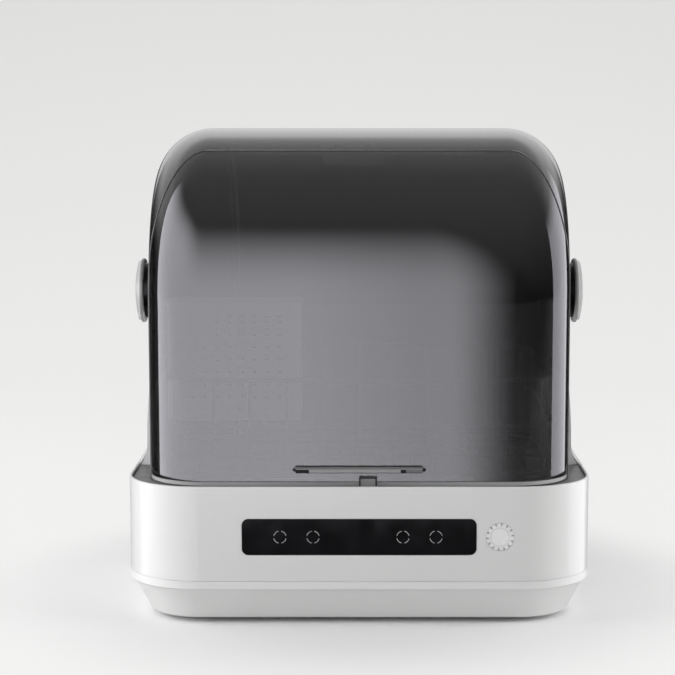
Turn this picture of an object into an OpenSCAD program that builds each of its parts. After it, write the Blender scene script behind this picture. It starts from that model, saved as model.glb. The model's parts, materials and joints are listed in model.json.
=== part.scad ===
// Countertop dishwasher with a swing-back arched hood.
// Origin: centre of the footprint, on the surface that the feet stand on.
// +Z up, +X to the right of the user, the control panel faces -Y.

/* [Base] */
// Overall width of the base
base_w = 440; // [420:1:460]
// Overall depth of the base
base_d = 350; // [346:1:380]
// Corner radius of the base seen from above
base_corner_r = 70; // [55:1:85]
// Height of the base rim above the worktop
rim_z = 134; // [128:1:150]
// Height of the parting line between housing and pan
seam_z = 45; // [42:1:48]
// Depth of the pan's upright edge under the parting line
pan_edge_h = 9; // [6:1:10]
// Step in under the pan's upright edge
ledge_step = 3.5; // [2:0.5:5]
// Inset of the pan at its bottom edge
skirt_inset = 19; // [14:1:22]
// Wall of the housing
housing_wall = 3; // [2.4:0.1:3.6]
// Wall of the pan
pan_wall = 3; // [2.4:0.1:3.6]
// Thickness of the pan's floor
pan_floor = 3; // [2.5:0.1:4]

/* [Feet] */
// Height of the feet under the pan
foot_h = 5; // [4:0.5:8]
// Radius of a foot
foot_r = 12; // [9:0.5:15]
// Distance of the feet from the base's sides
foot_inset_x = 60; // [55:1:80]
// Distance of the feet from the base's front and back
foot_inset_y = 59; // [55:1:75]

/* [Tub] */
// Depth of the deck under the rim
deck_drop = 3; // [2:0.5:5]
// Thickness of the deck and the basin
tub_wall = 2.5; // [2:0.1:3]
// Width of the deck at each side of the basin
basin_side = 40; // [38:1:50]
// Width of the deck before and behind the basin
basin_end = 33; // [30:1:36]
// Corner radius of the basin
basin_corner_r = 40; // [30:1:55]
// Depth of the basin under the deck
basin_depth = 51; // [46:0.5:53]

/* [Hood] */
// Height of the hood's pivot
pivot_z = 301; // [297:1:312]
// Distance of the hood's front behind the base's front
hood_front_gap = 14; // [13:0.5:17]
// Distance of the hood's sides from the base's sides
hood_side_gap = 20; // [19:0.5:22]
// Radius of the hood's long edges
hood_edge_r = 56; // [50:1:60]
// Wall of the hood
hood_wall = 2.7; // [2.4:0.1:2.8]
// Step from the hood's frame down to its window
window_step = 0.5; // [0.3:0.1:0.8]
// Angle of the hood's rear edge, up and back from the front
hood_rear_angle = 97; // [94:0.5:98]
// Distance of the window's side edges behind the hood's front
crease_back = 49; // [43:1:61]
// Height above the pivot at which those edges start to bend back
crease_rise = 54; // [40:1:60]
// Radius of that bend, as a share of the hood's radius
crease_share = 0.78; // [0.75:0.01:0.82]
// Radius of the hubs on the hood's sides
hub_r = 31; // [28:1:34]
// Radius of the pivot pins
pin_r = 6; // [5:0.5:8]

/* [Handle and catch] */
// Length of the handle lip
handle_w = 124; // [90:1:150]
// Height of the lip's underside
handle_z = 146; // [144:0.5:160]
// Thickness of the lip at its root
handle_t = 4; // [3.5:0.5:6]
// Reach of the lip in front of the hood
handle_reach = 9; // [6:0.5:9.5]
// Width of the catch tab
catch_w = 16.8; // [12:0.2:24]
// Height of the catch tab
catch_h = 9; // [7:0.5:9.5]
// Position of the catch tab, to the right of the middle
catch_x = 8.2; // [0:0.2:12]

/* [Rear shell] */
// Wall of the rear shell
shell_wall = 2.5; // [2:0.1:3]
// Gap between the hood and the rear shell round the arch
shell_gap_r = 2; // [1.6:0.1:2.4]
// Gap between the hood and the rear shell at the sides
shell_gap_side = 1; // [0.8:0.1:1.4]
// Distance of the rear shell's front edge before the pivot
shell_front = 20; // [16:1:26]

/* [Side arms] */
// Width of an arm's foot, front to back
arm_foot_w = 84; // [70:1:100]
// Thickness of an arm at the pivot
arm_t = 3.5; // [3:0.1:4]
// Outward lean of an arm towards its foot
arm_lean = 6; // [4:0.5:6.5]
// Thickness of an arm at its foot
arm_foot_t = 4.5; // [4:0.1:5]
// Height of the flare where an arm meets the deck
arm_flare_h = 24; // [14:1:30]

/* [Pivot caps] */
// Radius of the black collars
collar_r = 27; // [24:0.5:30]
// Length of the black collars
collar_l = 9; // [8:0.5:12]
// Radius of the grey flanges
flange_r = 32; // [29:0.5:34]
// Thickness of the grey flanges
flange_t = 4; // [3:0.5:5]
// Radius of the white caps
cap_r = 29.5; // [26:0.5:31]
// Height of the white caps
cap_h = 6; // [5:0.5:9]

/* [Control panel] */
// Distance of the control glass from the base's sides
glass_side = 111; // [101:1:130]
// Height of the control glass
glass_h = 34; // [28:1:38]
// Distance of the middle of the control glass under the rim
glass_drop = 47.4; // [42:0.2:54]
// Corner radius of the control glass
glass_r = 6; // [4:0.5:10]
// Thickness of the control glass
glass_t = 1.9; // [1.5:0.1:2.2]
// Radius of the round badge
badge_r = 13; // [10:0.5:15]
// Thickness of the round badge
badge_t = 1.2; // [0.8:0.1:1.6]
// Gap between the control glass and the badge
badge_gap = 9; // [6:1:12]

/* [Spray arm] */
// Distance of the spray arm's tips from the basin's front
blade_gap = 12; // [8:1:42]
// Width of a blade at the hub
blade_w = 30; // [24:1:36]
// Thickness of the spray arm's blades
blade_t = 9; // [7:0.5:11]
// Distance of the heating element's ring from the basin's front
heater_gap = 27; // [24:1:37]
// Radius of the heating element's tube
heater_r = 3.2; // [2.8:0.1:3.8]

/* [Sump] */
// Distance of the sump's middle from the basin's right side
sump_side = 120; // [116:1:124]
// Distance of the sump's middle from the basin's back
sump_back = 72; // [70:1:76]
// Inner radius of the sump cup
sump_r = 34; // [32:0.5:36]
// Depth of the sump cup under the basin
sump_depth = 40; // [36:0.5:44]
// Radius of the filter
filter_r = 30; // [26:0.5:31]

/* [Rack] */
// Distance of the rack from the hood's sides
rack_side_gap = 14; // [12:1:20]
// Distance of the rack's front behind the hood's front
rack_front_gap = 13; // [11:1:21]
// Distance of the rack's back from the far side of the hood's arch
rack_back_gap = 25; // [24:1:33]
// Radius of the frame wire
wire_r = 2.4; // [2:0.1:2.8]
// Radius of the thin wire
thin_wire_r = 1.7; // [1.4:0.1:2]
// Height of the lowest frame wire above the deck
rack_rise = 11; // [9:0.5:14]
// Height of the rack's rim above the lowest frame wire
rack_h = 88; // [84:1:92]
// Distance of the last tines from the rack's side
tine_edge = 16; // [14:1:30]
// Number of plate slots
plate_slots = 6; // [6:1:7]
// Height of the tines above the rack's floor
tine_h = 96; // [70:1:110]

/* [Cutlery basket] */
// Width of the basket
basket_w = 126; // [110:1:128]
// Depth of the basket, front to back
basket_d = 60; // [50:1:64]
// Height of the basket
basket_h = 112; // [90:1:114]
// Wall of the basket
basket_wall = 1.8; // [1.5:0.1:2.2]
// Side of a square hole in the basket
basket_hole = 7; // [5:0.5:8]
// Distance between the holes
basket_pitch = 12; // [11:0.5:14]

/* [Service panel] */
// Distance of the recess for the connections from the base's sides
panel_side = 75; // [72:1:80]
// Height of the recess for the connections
panel_h = 52; // [50:1:54]
// Depth of the recess
panel_depth = 22; // [20:0.5:24]
// Wall of the recess
panel_wall = 2.5; // [2:0.1:3]
// Height of the middle of the drain spigot and the power socket
port_z = 66; // [65:0.5:66]
// Height of the middle of the water inlet
inlet_z = 71; // [70:0.5:73]
// Radius of the water inlet's thread, three-quarter inch
inlet_r = 13.2; // [10:0.1:13.6]
// Length of the water inlet's thread
inlet_l = 14; // [10:0.5:16]
// Radius of the drain spigot
drain_r = 9; // [7:0.5:10]
// Length of the drain spigot
drain_l = 18; // [12:0.5:19]

/* [Hidden] */
$fn = 96;

// Fits and small gaps
seat = 0.3;          // between parts that are set in or hung beside each other
touch = 0.1;         // between crossing wires and curved seats
run = 0.05;          // radial clearance of a turning fit

// Base
ledge_z = seam_z - pan_edge_h;
floor_z = foot_h + pan_floor;
deck_z = rim_z - deck_drop;
deck_under = deck_z - tub_wall;
inner_x = base_w / 2 - housing_wall;
inner_y = base_d / 2 - housing_wall;
basin_z = deck_z - basin_depth;
basin_under = basin_z - tub_wall;
basin_w = base_w - 2 * basin_side;
basin_d = base_d - 2 * basin_end;
foot_x = base_w / 2 - foot_inset_x;
foot_y = base_d / 2 - foot_inset_y;
glass_w = base_w - 2 * glass_side;
glass_z = rim_z - glass_drop;
badge_x = glass_w / 2 + badge_gap + badge_r;

// Hood
hood_w = base_w - 2 * hood_side_gap;
hood_r = base_d / 2 - hood_front_gap;
hood_x = hood_w / 2;
crease_y = hood_r - crease_back;
crease_r = crease_share * hood_r;
hood_bottom = deck_z + 1.3;
hood_drop = pivot_z - hood_bottom;
hood_side_back = 6;
window_front = hood_r - window_step;
shell_r = hood_r - hood_wall - shell_gap_r;
shell_x = hood_x - hood_wall - shell_gap_side;
shell_edge_r = hood_edge_r - hood_wall - (shell_gap_r + shell_gap_side) / 2;

// Side arms and pivots
arm_gap = 1;
arm_in = hood_x + arm_gap;
arm_out = arm_in + arm_t;
pin_in = shell_x + seat;
flange_x = arm_out + collar_l;
cap_x = flange_x + flange_t;
washer_t = 0.4;

// Spray system
hub_top = basin_z + 16;
arm_z = hub_top + seat;
hub_pin_r = 5;
heater_z = basin_z + 7;
heater_d = basin_d - 2 * heater_gap;
blade_l = basin_d / 2 - blade_gap;

// Pumps, on the line of the sump
sump_x = basin_w / 2 - sump_side;
sump_y = basin_d / 2 - sump_back;
pump_z = floor_z + 37;
shaft_r = 2;
pump_volute_r = basin_under - pump_z - 3.5;
pump_motor_r = pump_volute_r - 4;
pump_back = sump_y - sump_r - 72;
pump_front = pump_back - 82;
pump_volute_l = 24;
pump_shell = 3;
pump_rotor_r = pump_volute_r - pump_shell - 6;
pipe_r = 9;
drain_pump_r = 19;
drain_pump_z = port_z - 16;
drain_pump_x0 = sump_x + sump_r + 16;
drain_pump_l = 50;
drain_chamber_l = 16;

// Rack
rack_z = deck_z + rack_rise;
rack_corner_r = 44;
rack_w = hood_w - 2 * rack_side_gap;
rack_front = hood_r - rack_front_gap;
rack_back = hood_r - rack_back_gap;
rack_side_x = rack_w / 2;
shelf_z = rack_z + rack_h / 2;
rack_top_z = rack_z + rack_h;
rack_mid_y = (rack_back - rack_front) / 2;
rack_d = rack_front + rack_back;
tine_pitch = (rack_side_x - tine_edge) / (plate_slots - 1);
floor_wire_z = rack_z + wire_r + thin_wire_r + touch;
shelf_wire_r = thin_wire_r - 0.2;
basket_x = -rack_side_x + wire_r + 2 + basket_w / 2;
basket_y = -rack_front + wire_r + 26 + basket_d / 2;
basket_z = shelf_z + shelf_wire_r + seat;

// Fan
fan_x = 62 - basin_w / 2;
fan_y = 30;
fan_w = 60;
fan_t = 18;

// Service panel
panel_w = base_w - 2 * panel_side;
panel_z = seam_z + 4 + panel_h / 2;
panel_back = base_d / 2 - panel_depth;
panel_front = panel_back - panel_wall;
inlet_x = 41 - panel_w / 2;
drain_x = drain_pump_x0 + drain_chamber_l / 2;
socket_x = -30;

// ---------- shared shapes ----------

// points on an arc, from angle a0 to a1
function arc_points(cx, cy, r, a0, a1, n) =
  [for (i = [0:n]) let (a = a0 + (a1 - a0) * i / n) [cx + r * cos(a), cy + r * sin(a)]];

// rectangle with round corners, centred
module rounded_rect(w, d, r) {
  square([w - 2 * r, d], center = true);
  square([w, d - 2 * r], center = true);
  for (sx = [-1, 1], sy = [-1, 1])
    translate([sx * (w / 2 - r), sy * (d / 2 - r)]) circle(r);
}

// a section swept round a rounded rectangle; the section's x is measured outwards from the outline
module ring_sweep(w, d, r) {
  for (i = [0:3]) {
    sx = (i == 0 || i == 3) ? 1 : -1;
    sy = i < 2 ? 1 : -1;
    translate([sx * (w / 2 - r), sy * (d / 2 - r), 0]) rotate([0, 0, 90 * i])
      rotate_extrude(angle = 90) translate([r, 0]) children();
  }
  for (turn = [0, 180]) rotate([0, 0, turn]) {
    translate([w / 2 - r, d / 2 - r, 0]) rotate([90, 0, 0])
      linear_extrude(d - 2 * r) translate([r, 0]) children();
    rotate([0, 0, 90]) translate([d / 2 - r, w / 2 - r, 0]) rotate([90, 0, 0])
      linear_extrude(w - 2 * r) translate([r, 0]) children();
  }
}

// frame of the pivot: x is the distance to the front, y is up, z runs to the left
module at_pivot() {
  translate([0, 0, pivot_z]) rotate([90, 0, -90]) children();
}

// cross-section of the arch, x = distance from the pivot axis, y = along the axis
module arch_section(r, half_w, edge_r) {
  translate([0, -half_w]) square([r - edge_r, 2 * half_w]);
  translate([0, -(half_w - edge_r)]) square([r, 2 * (half_w - edge_r)]);
  for (s = [-1, 1]) translate([r - edge_r, s * (half_w - edge_r)]) circle(edge_r);
}

// only the part of a section in front of x = 0
module front_half() {
  intersection() {
    children();
    translate([0, -2 * hood_w]) square([2 * hood_r, 4 * hood_w]);
  }
}

// solid under the hood's skin, inset from it
module hood_body(inset, angle, drop) {
  at_pivot() {
    rotate_extrude(angle = angle)
      front_half() arch_section(hood_r - inset, hood_x - inset, hood_edge_r - inset);
    rotate([90, 0, 0]) linear_extrude(drop)
      front_half() arch_section(hood_r - inset, hood_x - inset, hood_edge_r - inset);
  }
}

// solid under the rear shell's skin, inset from it
module shell_body(inset, drop) {
  at_pivot() {
    rotate_extrude(angle = 180)
      front_half() arch_section(shell_r - inset, shell_x - inset, shell_edge_r - inset);
    rotate([90, 0, 0]) linear_extrude(drop) for (m = [0, 1]) mirror([m, 0])
      front_half() arch_section(shell_r - inset, shell_x - inset, shell_edge_r - inset);
  }
}

// slab right across the hood between two distances before the pivot
module cross_slab(y0, y1) {
  translate([-hood_w, -y1, 0]) cube([2 * hood_w, y1 - y0, 3 * pivot_z]);
}

// copies a part to both sides
module both_sides() {
  children();
  mirror([1, 0, 0]) children();
}

// cylinder along +X from x
module x_rod(x, r, l) {
  translate([x, 0, 0]) rotate([0, 90, 0]) cylinder(r = r, h = l);
}

// cylinder along +Y from y
module y_rod(y, r, l) {
  translate([0, y, 0]) rotate([-90, 0, 0]) cylinder(r = r, h = l);
}

// ---------- base ----------

module pan_profile() {
  polygon([
    [-0.7, seam_z], [-0.7, seam_z - 0.7], [0, seam_z - 0.7], [0, ledge_z + 1], [-1, ledge_z],
    [-ledge_step, ledge_z - 0.6], [-skirt_inset + 1, foot_h + 3], [-skirt_inset, foot_h + 1.2],
    [-skirt_inset - 1.8, foot_h], [-skirt_inset - 14, foot_h], [-skirt_inset - 14, floor_z],
    [-skirt_inset - pan_wall, floor_z], [-ledge_step - pan_wall, ledge_z - 2],
    [-housing_wall - seat - 1.8, ledge_z + 3], [-housing_wall - seat - 1.8, seam_z + 4],
    [-housing_wall - seat, seam_z + 4], [-housing_wall - seat, seam_z]]);
}

rib_x = -fan_x - fan_w / 2 - 8;
module base_pan() {
  color("whitesmoke") difference() {
    union() {
      ring_sweep(base_w, base_d, base_corner_r) pan_profile();
      translate([0, 0, foot_h]) linear_extrude(pan_floor)
        rounded_rect(base_w - 2 * skirt_inset - 20, base_d - 2 * skirt_inset - 20,
          base_corner_r - skirt_inset - 10);
      for (x = [-1, 1] * rib_x) translate([x - 1.2, 65 - base_d / 2, floor_z])
        cube([2.4, base_d - 130, 3]);
    }
    // air inlet slots under the fan
    for (i = [-3:3]) translate([fan_x + i * 7, fan_y, 0]) linear_extrude(4 * foot_h)
      rounded_rect(3.4, 2 * sqrt(26 * 26 - 49 * i * i), 1.6);
    // the tongue stays clear of the recess for the connections
    translate([-panel_w / 2 - 6, base_d / 2 - 40, seam_z]) cube([panel_w + 12, 37, 20]);
  }
}

module housing_profile() {
  lip = housing_wall / 2;
  polygon(concat(
    [[-housing_wall, seam_z], [0, seam_z]],
    arc_points(-lip, rim_z - lip, lip, 0, 180, 10),
    [[-housing_wall, deck_under], [-housing_wall - 4, deck_under],
     [-housing_wall - 4, deck_under - 2], [-housing_wall, deck_under - 6]]));
}

module outer_housing() {
  color("white") difference() {
    ring_sweep(base_w, base_d, base_corner_r) housing_profile();
    translate([0, -base_d / 2 + glass_t + touch, glass_z]) rotate([90, 0, 0])
      linear_extrude(10) rounded_rect(glass_w + 2 * seat, glass_h + 2 * seat, glass_r + seat);
    translate([badge_x, -base_d / 2 + badge_t, glass_z]) rotate([90, 0, 0])
      cylinder(r = badge_r + seat, h = 10);
    translate([0, base_d / 2 + 5, panel_z]) rotate([90, 0, 0])
      linear_extrude(15) rounded_rect(panel_w, panel_h, 5);
  }
}

module service_panel() {
  flange = 2;
  color("white") difference() {
    translate([0, 0, panel_z]) rotate([90, 0, 0]) {
      translate([0, 0, -base_d / 2 + 1]) linear_extrude(panel_depth - 1 + panel_wall)
        rounded_rect(panel_w - 2 * seat, panel_h - 2 * seat, 5 - seat);
      translate([0, 0, -inner_y]) linear_extrude(2)
        rounded_rect(panel_w + 2 * flange, panel_h + 2 * flange, 5 + flange);
    }
    translate([0, base_d / 2 + 1, panel_z]) rotate([90, 0, 0]) linear_extrude(panel_depth + 1)
      rounded_rect(panel_w - 2 * seat - 2 * panel_wall, panel_h - 2 * seat - 2 * panel_wall, 3);
    translate([inlet_x, panel_front - 5, inlet_z]) y_rod(0, inlet_r + 1.5 + seat, 20);
    translate([drain_x, panel_front - 5, port_z]) y_rod(0, drain_r + 1.5 + seat, 20);
    translate([socket_x, 0, port_z]) rotate([-90, 0, 0]) linear_extrude(base_d / 2 - 1)
      rounded_rect(socket_w + 2 * seat, socket_h + 2 * seat, 3);
    for (i = [0:5]) translate([30 + i * 6, panel_front - 5, port_z - 8]) cube([2.6, 20, 16]);
    for (p = screw_places) translate([p.x, panel_front - 5, p.y]) y_rod(0, 1.6 + run, 20);
  }
}

// ---------- tub ----------

module tub_deck() {
  color("darkgray") difference() {
    translate([0, 0, deck_under]) linear_extrude(tub_wall)
      rounded_rect(2 * (inner_x - seat), 2 * (inner_y - seat), base_corner_r - housing_wall - seat);
    translate([0, 0, deck_under - 1]) linear_extrude(2 * tub_wall)
      rounded_rect(basin_w, basin_d, basin_corner_r);
    // seat of the catch plate
    translate([catch_x, -(hood_r + 2), deck_z - 1]) linear_extrude(5)
      rounded_rect(catch_w + 2 * seat, 7 + 2 * seat, 1.5);
  }
}

module wash_tub() {
  color("darkgray") difference() {
    translate([0, 0, basin_under]) linear_extrude(basin_depth)
      rounded_rect(basin_w + 2 * tub_wall, basin_d + 2 * tub_wall, basin_corner_r + tub_wall);
    translate([0, 0, basin_z]) linear_extrude(2 * basin_depth)
      rounded_rect(basin_w, basin_d, basin_corner_r);
    translate([sump_x, sump_y, basin_under - 1]) cylinder(r = sump_r, h = 10);
    translate([0, 0, basin_under - 1]) cylinder(r = pipe_r + seat, h = 10);
  }
}

module deck_seal() {
  color("dimgray") translate([0, 0, deck_z]) rotate([0, 0, -90]) linear_extrude(1) difference() {
    arch_section(hood_r + 1, hood_x + 0.6, hood_edge_r + 1);
    arch_section(hood_r - hood_wall - 1, hood_x - hood_wall - 0.4, hood_edge_r - hood_wall - 1);
    translate([-2 * hood_r, -hood_w]) square([2 * hood_r + hood_side_back, 2 * hood_w]);
  }
}

module latch_keeper() {
  color("silver") translate([catch_x, -(hood_r + 2), deck_z - 1]) linear_extrude(1)
    rounded_rect(catch_w, 7, 1.2);
}

module spray_hub() {
  color("gray") difference() {
    union() {
      translate([0, 0, basin_z]) cylinder(r = 24, h = 3);
      translate([0, 0, basin_z]) cylinder(r = 15, h = hub_top - basin_z);
      translate([0, 0, hub_top]) cylinder(r = hub_pin_r, h = 14);
      translate([0, 0, basin_under - 6]) cylinder(r = pipe_r, h = 10 + tub_wall);
    }
    translate([0, 0, basin_under - 10]) cylinder(r = pipe_r - 2, h = 20);
  }
}

module sump_cup() {
  color("gray") translate([sump_x, sump_y, 0]) difference() {
    union() {
      translate([0, 0, basin_under - 2]) cylinder(r = sump_r + 7, h = 2);
      translate([0, 0, basin_under - sump_depth]) cylinder(r = sump_r + 2.5, h = sump_depth);
    }
    translate([0, 0, basin_under - sump_depth + 2.5]) cylinder(r = sump_r, h = sump_depth);
    translate([0, -sump_r - 5, pump_z]) y_rod(0, pipe_r - 2, 10);
    translate([sump_r - 5, 0, drain_pump_z]) x_rod(0, pipe_r - 3, 10);
  }
}

module sump_filter() {
  top = basin_z + 1;
  bottom = basin_under - sump_depth + 2.5 + seat;
  color("lightgray") translate([sump_x, sump_y, 0]) difference() {
    union() {
      translate([0, 0, bottom]) cylinder(r = filter_r, h = top - bottom);
      translate([0, 0, top - 2]) cylinder(r = sump_r - seat, h = 2);
    }
    translate([0, 0, bottom + 2]) cylinder(r = filter_r - 2, h = top - bottom);
    for (i = [0:7]) rotate([0, 0, i * 22.5]) for (z = [0:2])
      translate([-2 * filter_r, -2, bottom + 6 + z * 10]) cube([4 * filter_r, 4, 6]);
  }
  // grip across the mouth
  color("lightgray") translate([sump_x - filter_r + 1, sump_y - 1.5, top - 10])
    cube([2 * filter_r - 2, 3, 10]);
}

module heating_element() {
  ring_r = heater_d / 2;
  gap_angle = 20;
  end_x = ring_r * sin(gap_angle / 2);
  end_y = ring_r * cos(gap_angle / 2);
  color("slategray") {
    translate([0, 0, heater_z]) {
      rotate([0, 0, 90 + gap_angle / 2]) rotate_extrude(angle = 360 - gap_angle)
        translate([ring_r, 0]) circle(heater_r);
      for (s = [-1, 1]) translate([s * end_x, end_y, 0]) {
        translate([0, 0, -heater_r - 1.5]) cylinder(r = heater_r + 1.5, h = 2 * heater_r + 3);
        y_rod(0, heater_r - 0.4, basin_d / 2 - end_y - touch);
      }
    }
    for (a = [180, 270, 350]) rotate([0, 0, a]) translate([ring_r, 0, basin_z])
      cylinder(r = 2.2, h = heater_z - basin_z);
  }
}

// ---------- side arms and pivots ----------

// outer face of an arm at height z
function arm_face(z) =
  let (t = min(1, max(0, (pivot_z - hub_r - z) / 110)), f = max(0, 1 - (z - deck_z) / arm_flare_h))
  arm_out + arm_lean * t * t * (3 - 2 * t)
    + (inner_x - seat - arm_out - arm_lean) * pow(f, 3);
// inner face of an arm at height z
function arm_back(z) =
  let (t = min(1, max(0, (pivot_z - hub_r - z) / 110)))
  arm_in + (arm_lean + arm_t - arm_foot_t) * t * t * (3 - 2 * t);

module side_arm() {
  top = pivot_z + hub_r;
  levels = [deck_z, deck_z + 4, deck_z + 8, deck_z + 13, deck_z + 18,
    for (i = [0:10]) deck_z + arm_flare_h + i * (pivot_z - hub_r - deck_z - arm_flare_h) / 10, top];
  difference() {
    intersection() {
      rotate([90, 0, 0]) linear_extrude(2 * arm_foot_w, center = true)
        polygon(concat([for (z = levels) [arm_face(z), z]],
          [for (i = [len(levels) - 1:-1:0]) [arm_back(levels[i]), levels[i]]]));
      rotate([90, 0, 90]) linear_extrude(base_w) {
        polygon(concat([[hub_r, pivot_z - 60]], arc_points(0, pivot_z, hub_r, 0, 180, 32),
          [[-hub_r, pivot_z - 60], [-arm_foot_w / 2 + 5, deck_z + 14], [-arm_foot_w / 2, deck_z],
          [arm_foot_w / 2, deck_z], [arm_foot_w / 2 - 5, deck_z + 14]]));
      }
    }
    translate([0, 0, pivot_z]) x_rod(arm_in - 5, pin_r + run, 20);
  }
}
module side_arm_right() { color("white") side_arm(); }
module side_arm_left() { color("white") mirror([1, 0, 0]) side_arm(); }

module pivot_pins() {
  color("silver") both_sides() translate([0, 0, pivot_z]) x_rod(pin_in, pin_r, flange_x - touch - pin_in);
}

module hinge_washers() {
  color("ivory") both_sides() translate([0, 0, pivot_z]) difference() {
    x_rod(arm_in - seat - washer_t, 13, washer_t);
    x_rod(arm_in - 5, pin_r + 0.2, 10);
  }
}

module pivot_collar() {
  translate([0, 0, pivot_z]) difference() {
    x_rod(arm_out, collar_r, collar_l);
    x_rod(arm_out - 1, pin_r + run, collar_l + 2);
    // groove round the collar
    difference() {
      x_rod(arm_out + collar_l - 4, collar_r + 1, 2);
      x_rod(arm_out, collar_r - 2, collar_l);
    }
  }
}
module pivot_collar_right() { color("black") pivot_collar(); }
module pivot_collar_left() { color("black") mirror([1, 0, 0]) pivot_collar(); }

module pivot_flange() {
  translate([flange_x, 0, pivot_z]) rotate([0, 90, 0]) rotate_extrude() polygon(concat(
    [[0, 0], [flange_r - 1, 0], [flange_r, 1]],
    arc_points(flange_r - 1.5, flange_t - 1.5, 1.5, 0, 90, 5), [[0, flange_t]]));
}
module pivot_flange_right() { color("gainsboro") pivot_flange(); }
module pivot_flange_left() { color("gainsboro") mirror([1, 0, 0]) pivot_flange(); }

module pivot_cap() {
  rise = cap_h - 2.5;
  dome_r = (cap_r * cap_r + rise * rise) / (2 * rise);
  translate([cap_x, 0, pivot_z]) rotate([0, 90, 0]) intersection() {
    cylinder(r = cap_r, h = cap_h + 1);
    translate([0, 0, cap_h - dome_r]) sphere(dome_r, $fn = 128);
  }
}
module pivot_cap_right() { color("white") pivot_cap(); }
module pivot_cap_left() { color("white") mirror([1, 0, 0]) pivot_cap(); }

// ---------- rear shell ----------

module rear_shell() {
  color("#2b2c2e") difference() {
    shell_body(0, pivot_z - deck_z);
    shell_body(shell_wall, pivot_z);
    cross_slab(shell_front, 3 * hood_r);
  }
}

module shell_seal() {
  lip = 0.35;
  color("black") intersection() {
    difference() {
      hood_body(hood_wall + lip, 120, pivot_z - deck_z - 1.2);
      shell_body(0, pivot_z);
    }
    cross_slab(shell_front - 7, shell_front);
  }
}

lamp_x = -6;
lamp_w = 60;
lamp_y = -2;
lamp_bottom = pivot_z + shell_r - 30.3;
module uv_lamp_housing() {
  color("lightgray") difference() {
    intersection() {
      union() {
        translate([lamp_x - lamp_w / 2, lamp_y - 12, lamp_bottom]) cube([lamp_w, 24, 12]);
        for (s = [-1, 1]) translate([lamp_x + s * 20 - 3, lamp_y - 5, lamp_bottom]) cube([6, 10, 60]);
      }
      at_pivot() cylinder(r = shell_r - shell_wall - touch, h = hood_w, center = true);
    }
    translate([lamp_x, lamp_y, lamp_bottom + 1]) x_rod(-lamp_w / 2 + 3, 5, lamp_w - 6);
  }
}

module uv_lamp_tube() {
  color("#b9c7ff") translate([lamp_x, lamp_y, lamp_bottom + 1])
    x_rod(-lamp_w / 2 + 3 + touch, 4.2, lamp_w - 6 - 2 * touch);
}

riser_x = 68 - hood_x;
riser_r = 4.5;
riser_line = shell_r - shell_wall - riser_r - 2;
riser_end = 105;
module riser_pipe() {
  end_y = -riser_line * cos(riser_end);
  end_z = pivot_z + riser_line * sin(riser_end);
  color("silver") {
    translate([riser_x, riser_line, deck_z]) {
      cylinder(r = riser_r, h = pivot_z - deck_z);
      cylinder(r = 5.2, h = 3);
    }
    translate([riser_x, 0, 0]) at_pivot() rotate([0, 0, riser_end])
      rotate_extrude(angle = 180 - riser_end) translate([riser_line, 0]) circle(riser_r);
    // elbow fitting, and the cross pipe to the nozzle
    translate([0, end_y, end_z]) x_rod(riser_x - 8, riser_r + 1, 18);
    translate([0, end_y, end_z]) x_rod(riser_x, riser_r, 6 - riser_x);
  }
}

module top_nozzle() {
  end_y = -riser_line * cos(riser_end);
  end_z = pivot_z + riser_line * sin(riser_end);
  color("silver") translate([0, end_y, end_z - riser_r - touch]) mirror([0, 0, 1]) difference() {
    union() {
      cylinder(r = 5, h = 4);
      translate([0, 0, 4]) cylinder(r1 = 5, r2 = 17, h = 6);
      translate([0, 0, 10]) cylinder(r = 17, h = 3);
    }
    for (i = [0:7]) rotate([0, 0, 45 * i]) translate([12, 0, 9]) cylinder(r = 1.2, h = 10);
  }
}

// ---------- pumps and pipes ----------

module wash_pump() {
  volute_front = pump_back - pump_volute_l;
  color("dimgray") translate([sump_x, 0, pump_z]) difference() {
    union() {
      y_rod(pump_front, pump_motor_r, volute_front - pump_front);
      y_rod(volute_front, pump_volute_r, pump_volute_l);
      y_rod(pump_back - 1, pipe_r + 3, 7);
      translate([-pump_volute_r - 12, volute_front + pump_volute_l / 2, 0]) x_rod(0, pipe_r + 2, 20);
      for (y = [pump_front + 10, volute_front - 16])
        translate([-16, y, floor_z - pump_z]) cube([32, 6, pump_z - floor_z]);
    }
    y_rod(volute_front + pump_shell, pump_volute_r - pump_shell, pump_volute_l - 2 * pump_shell);
    y_rod(pump_back - 5, pipe_r + run, 20);
    translate([-pump_volute_r - 15, volute_front + pump_volute_l / 2, 0]) x_rod(0, pipe_r + run, 24);
  }
  color("silver") translate([sump_x, 0, pump_z]) y_rod(volute_front + 1, shaft_r, pump_shell + 12);
}

module wash_rotor() {
  y0 = pump_back - pump_volute_l + pump_shell + 1;
  color("ivory") translate([sump_x, y0, pump_z]) rotate([-90, 0, 0]) difference() {
    union() {
      cylinder(r = pump_rotor_r, h = 3);
      cylinder(r = 6, h = 14);
      for (i = [0:5]) rotate([0, 0, 60 * i]) translate([3, -1, 0]) cube([pump_rotor_r - 3, 2, 12]);
    }
    translate([0, 0, -1]) cylinder(r = shaft_r + run, h = 20);
  }
}

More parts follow.
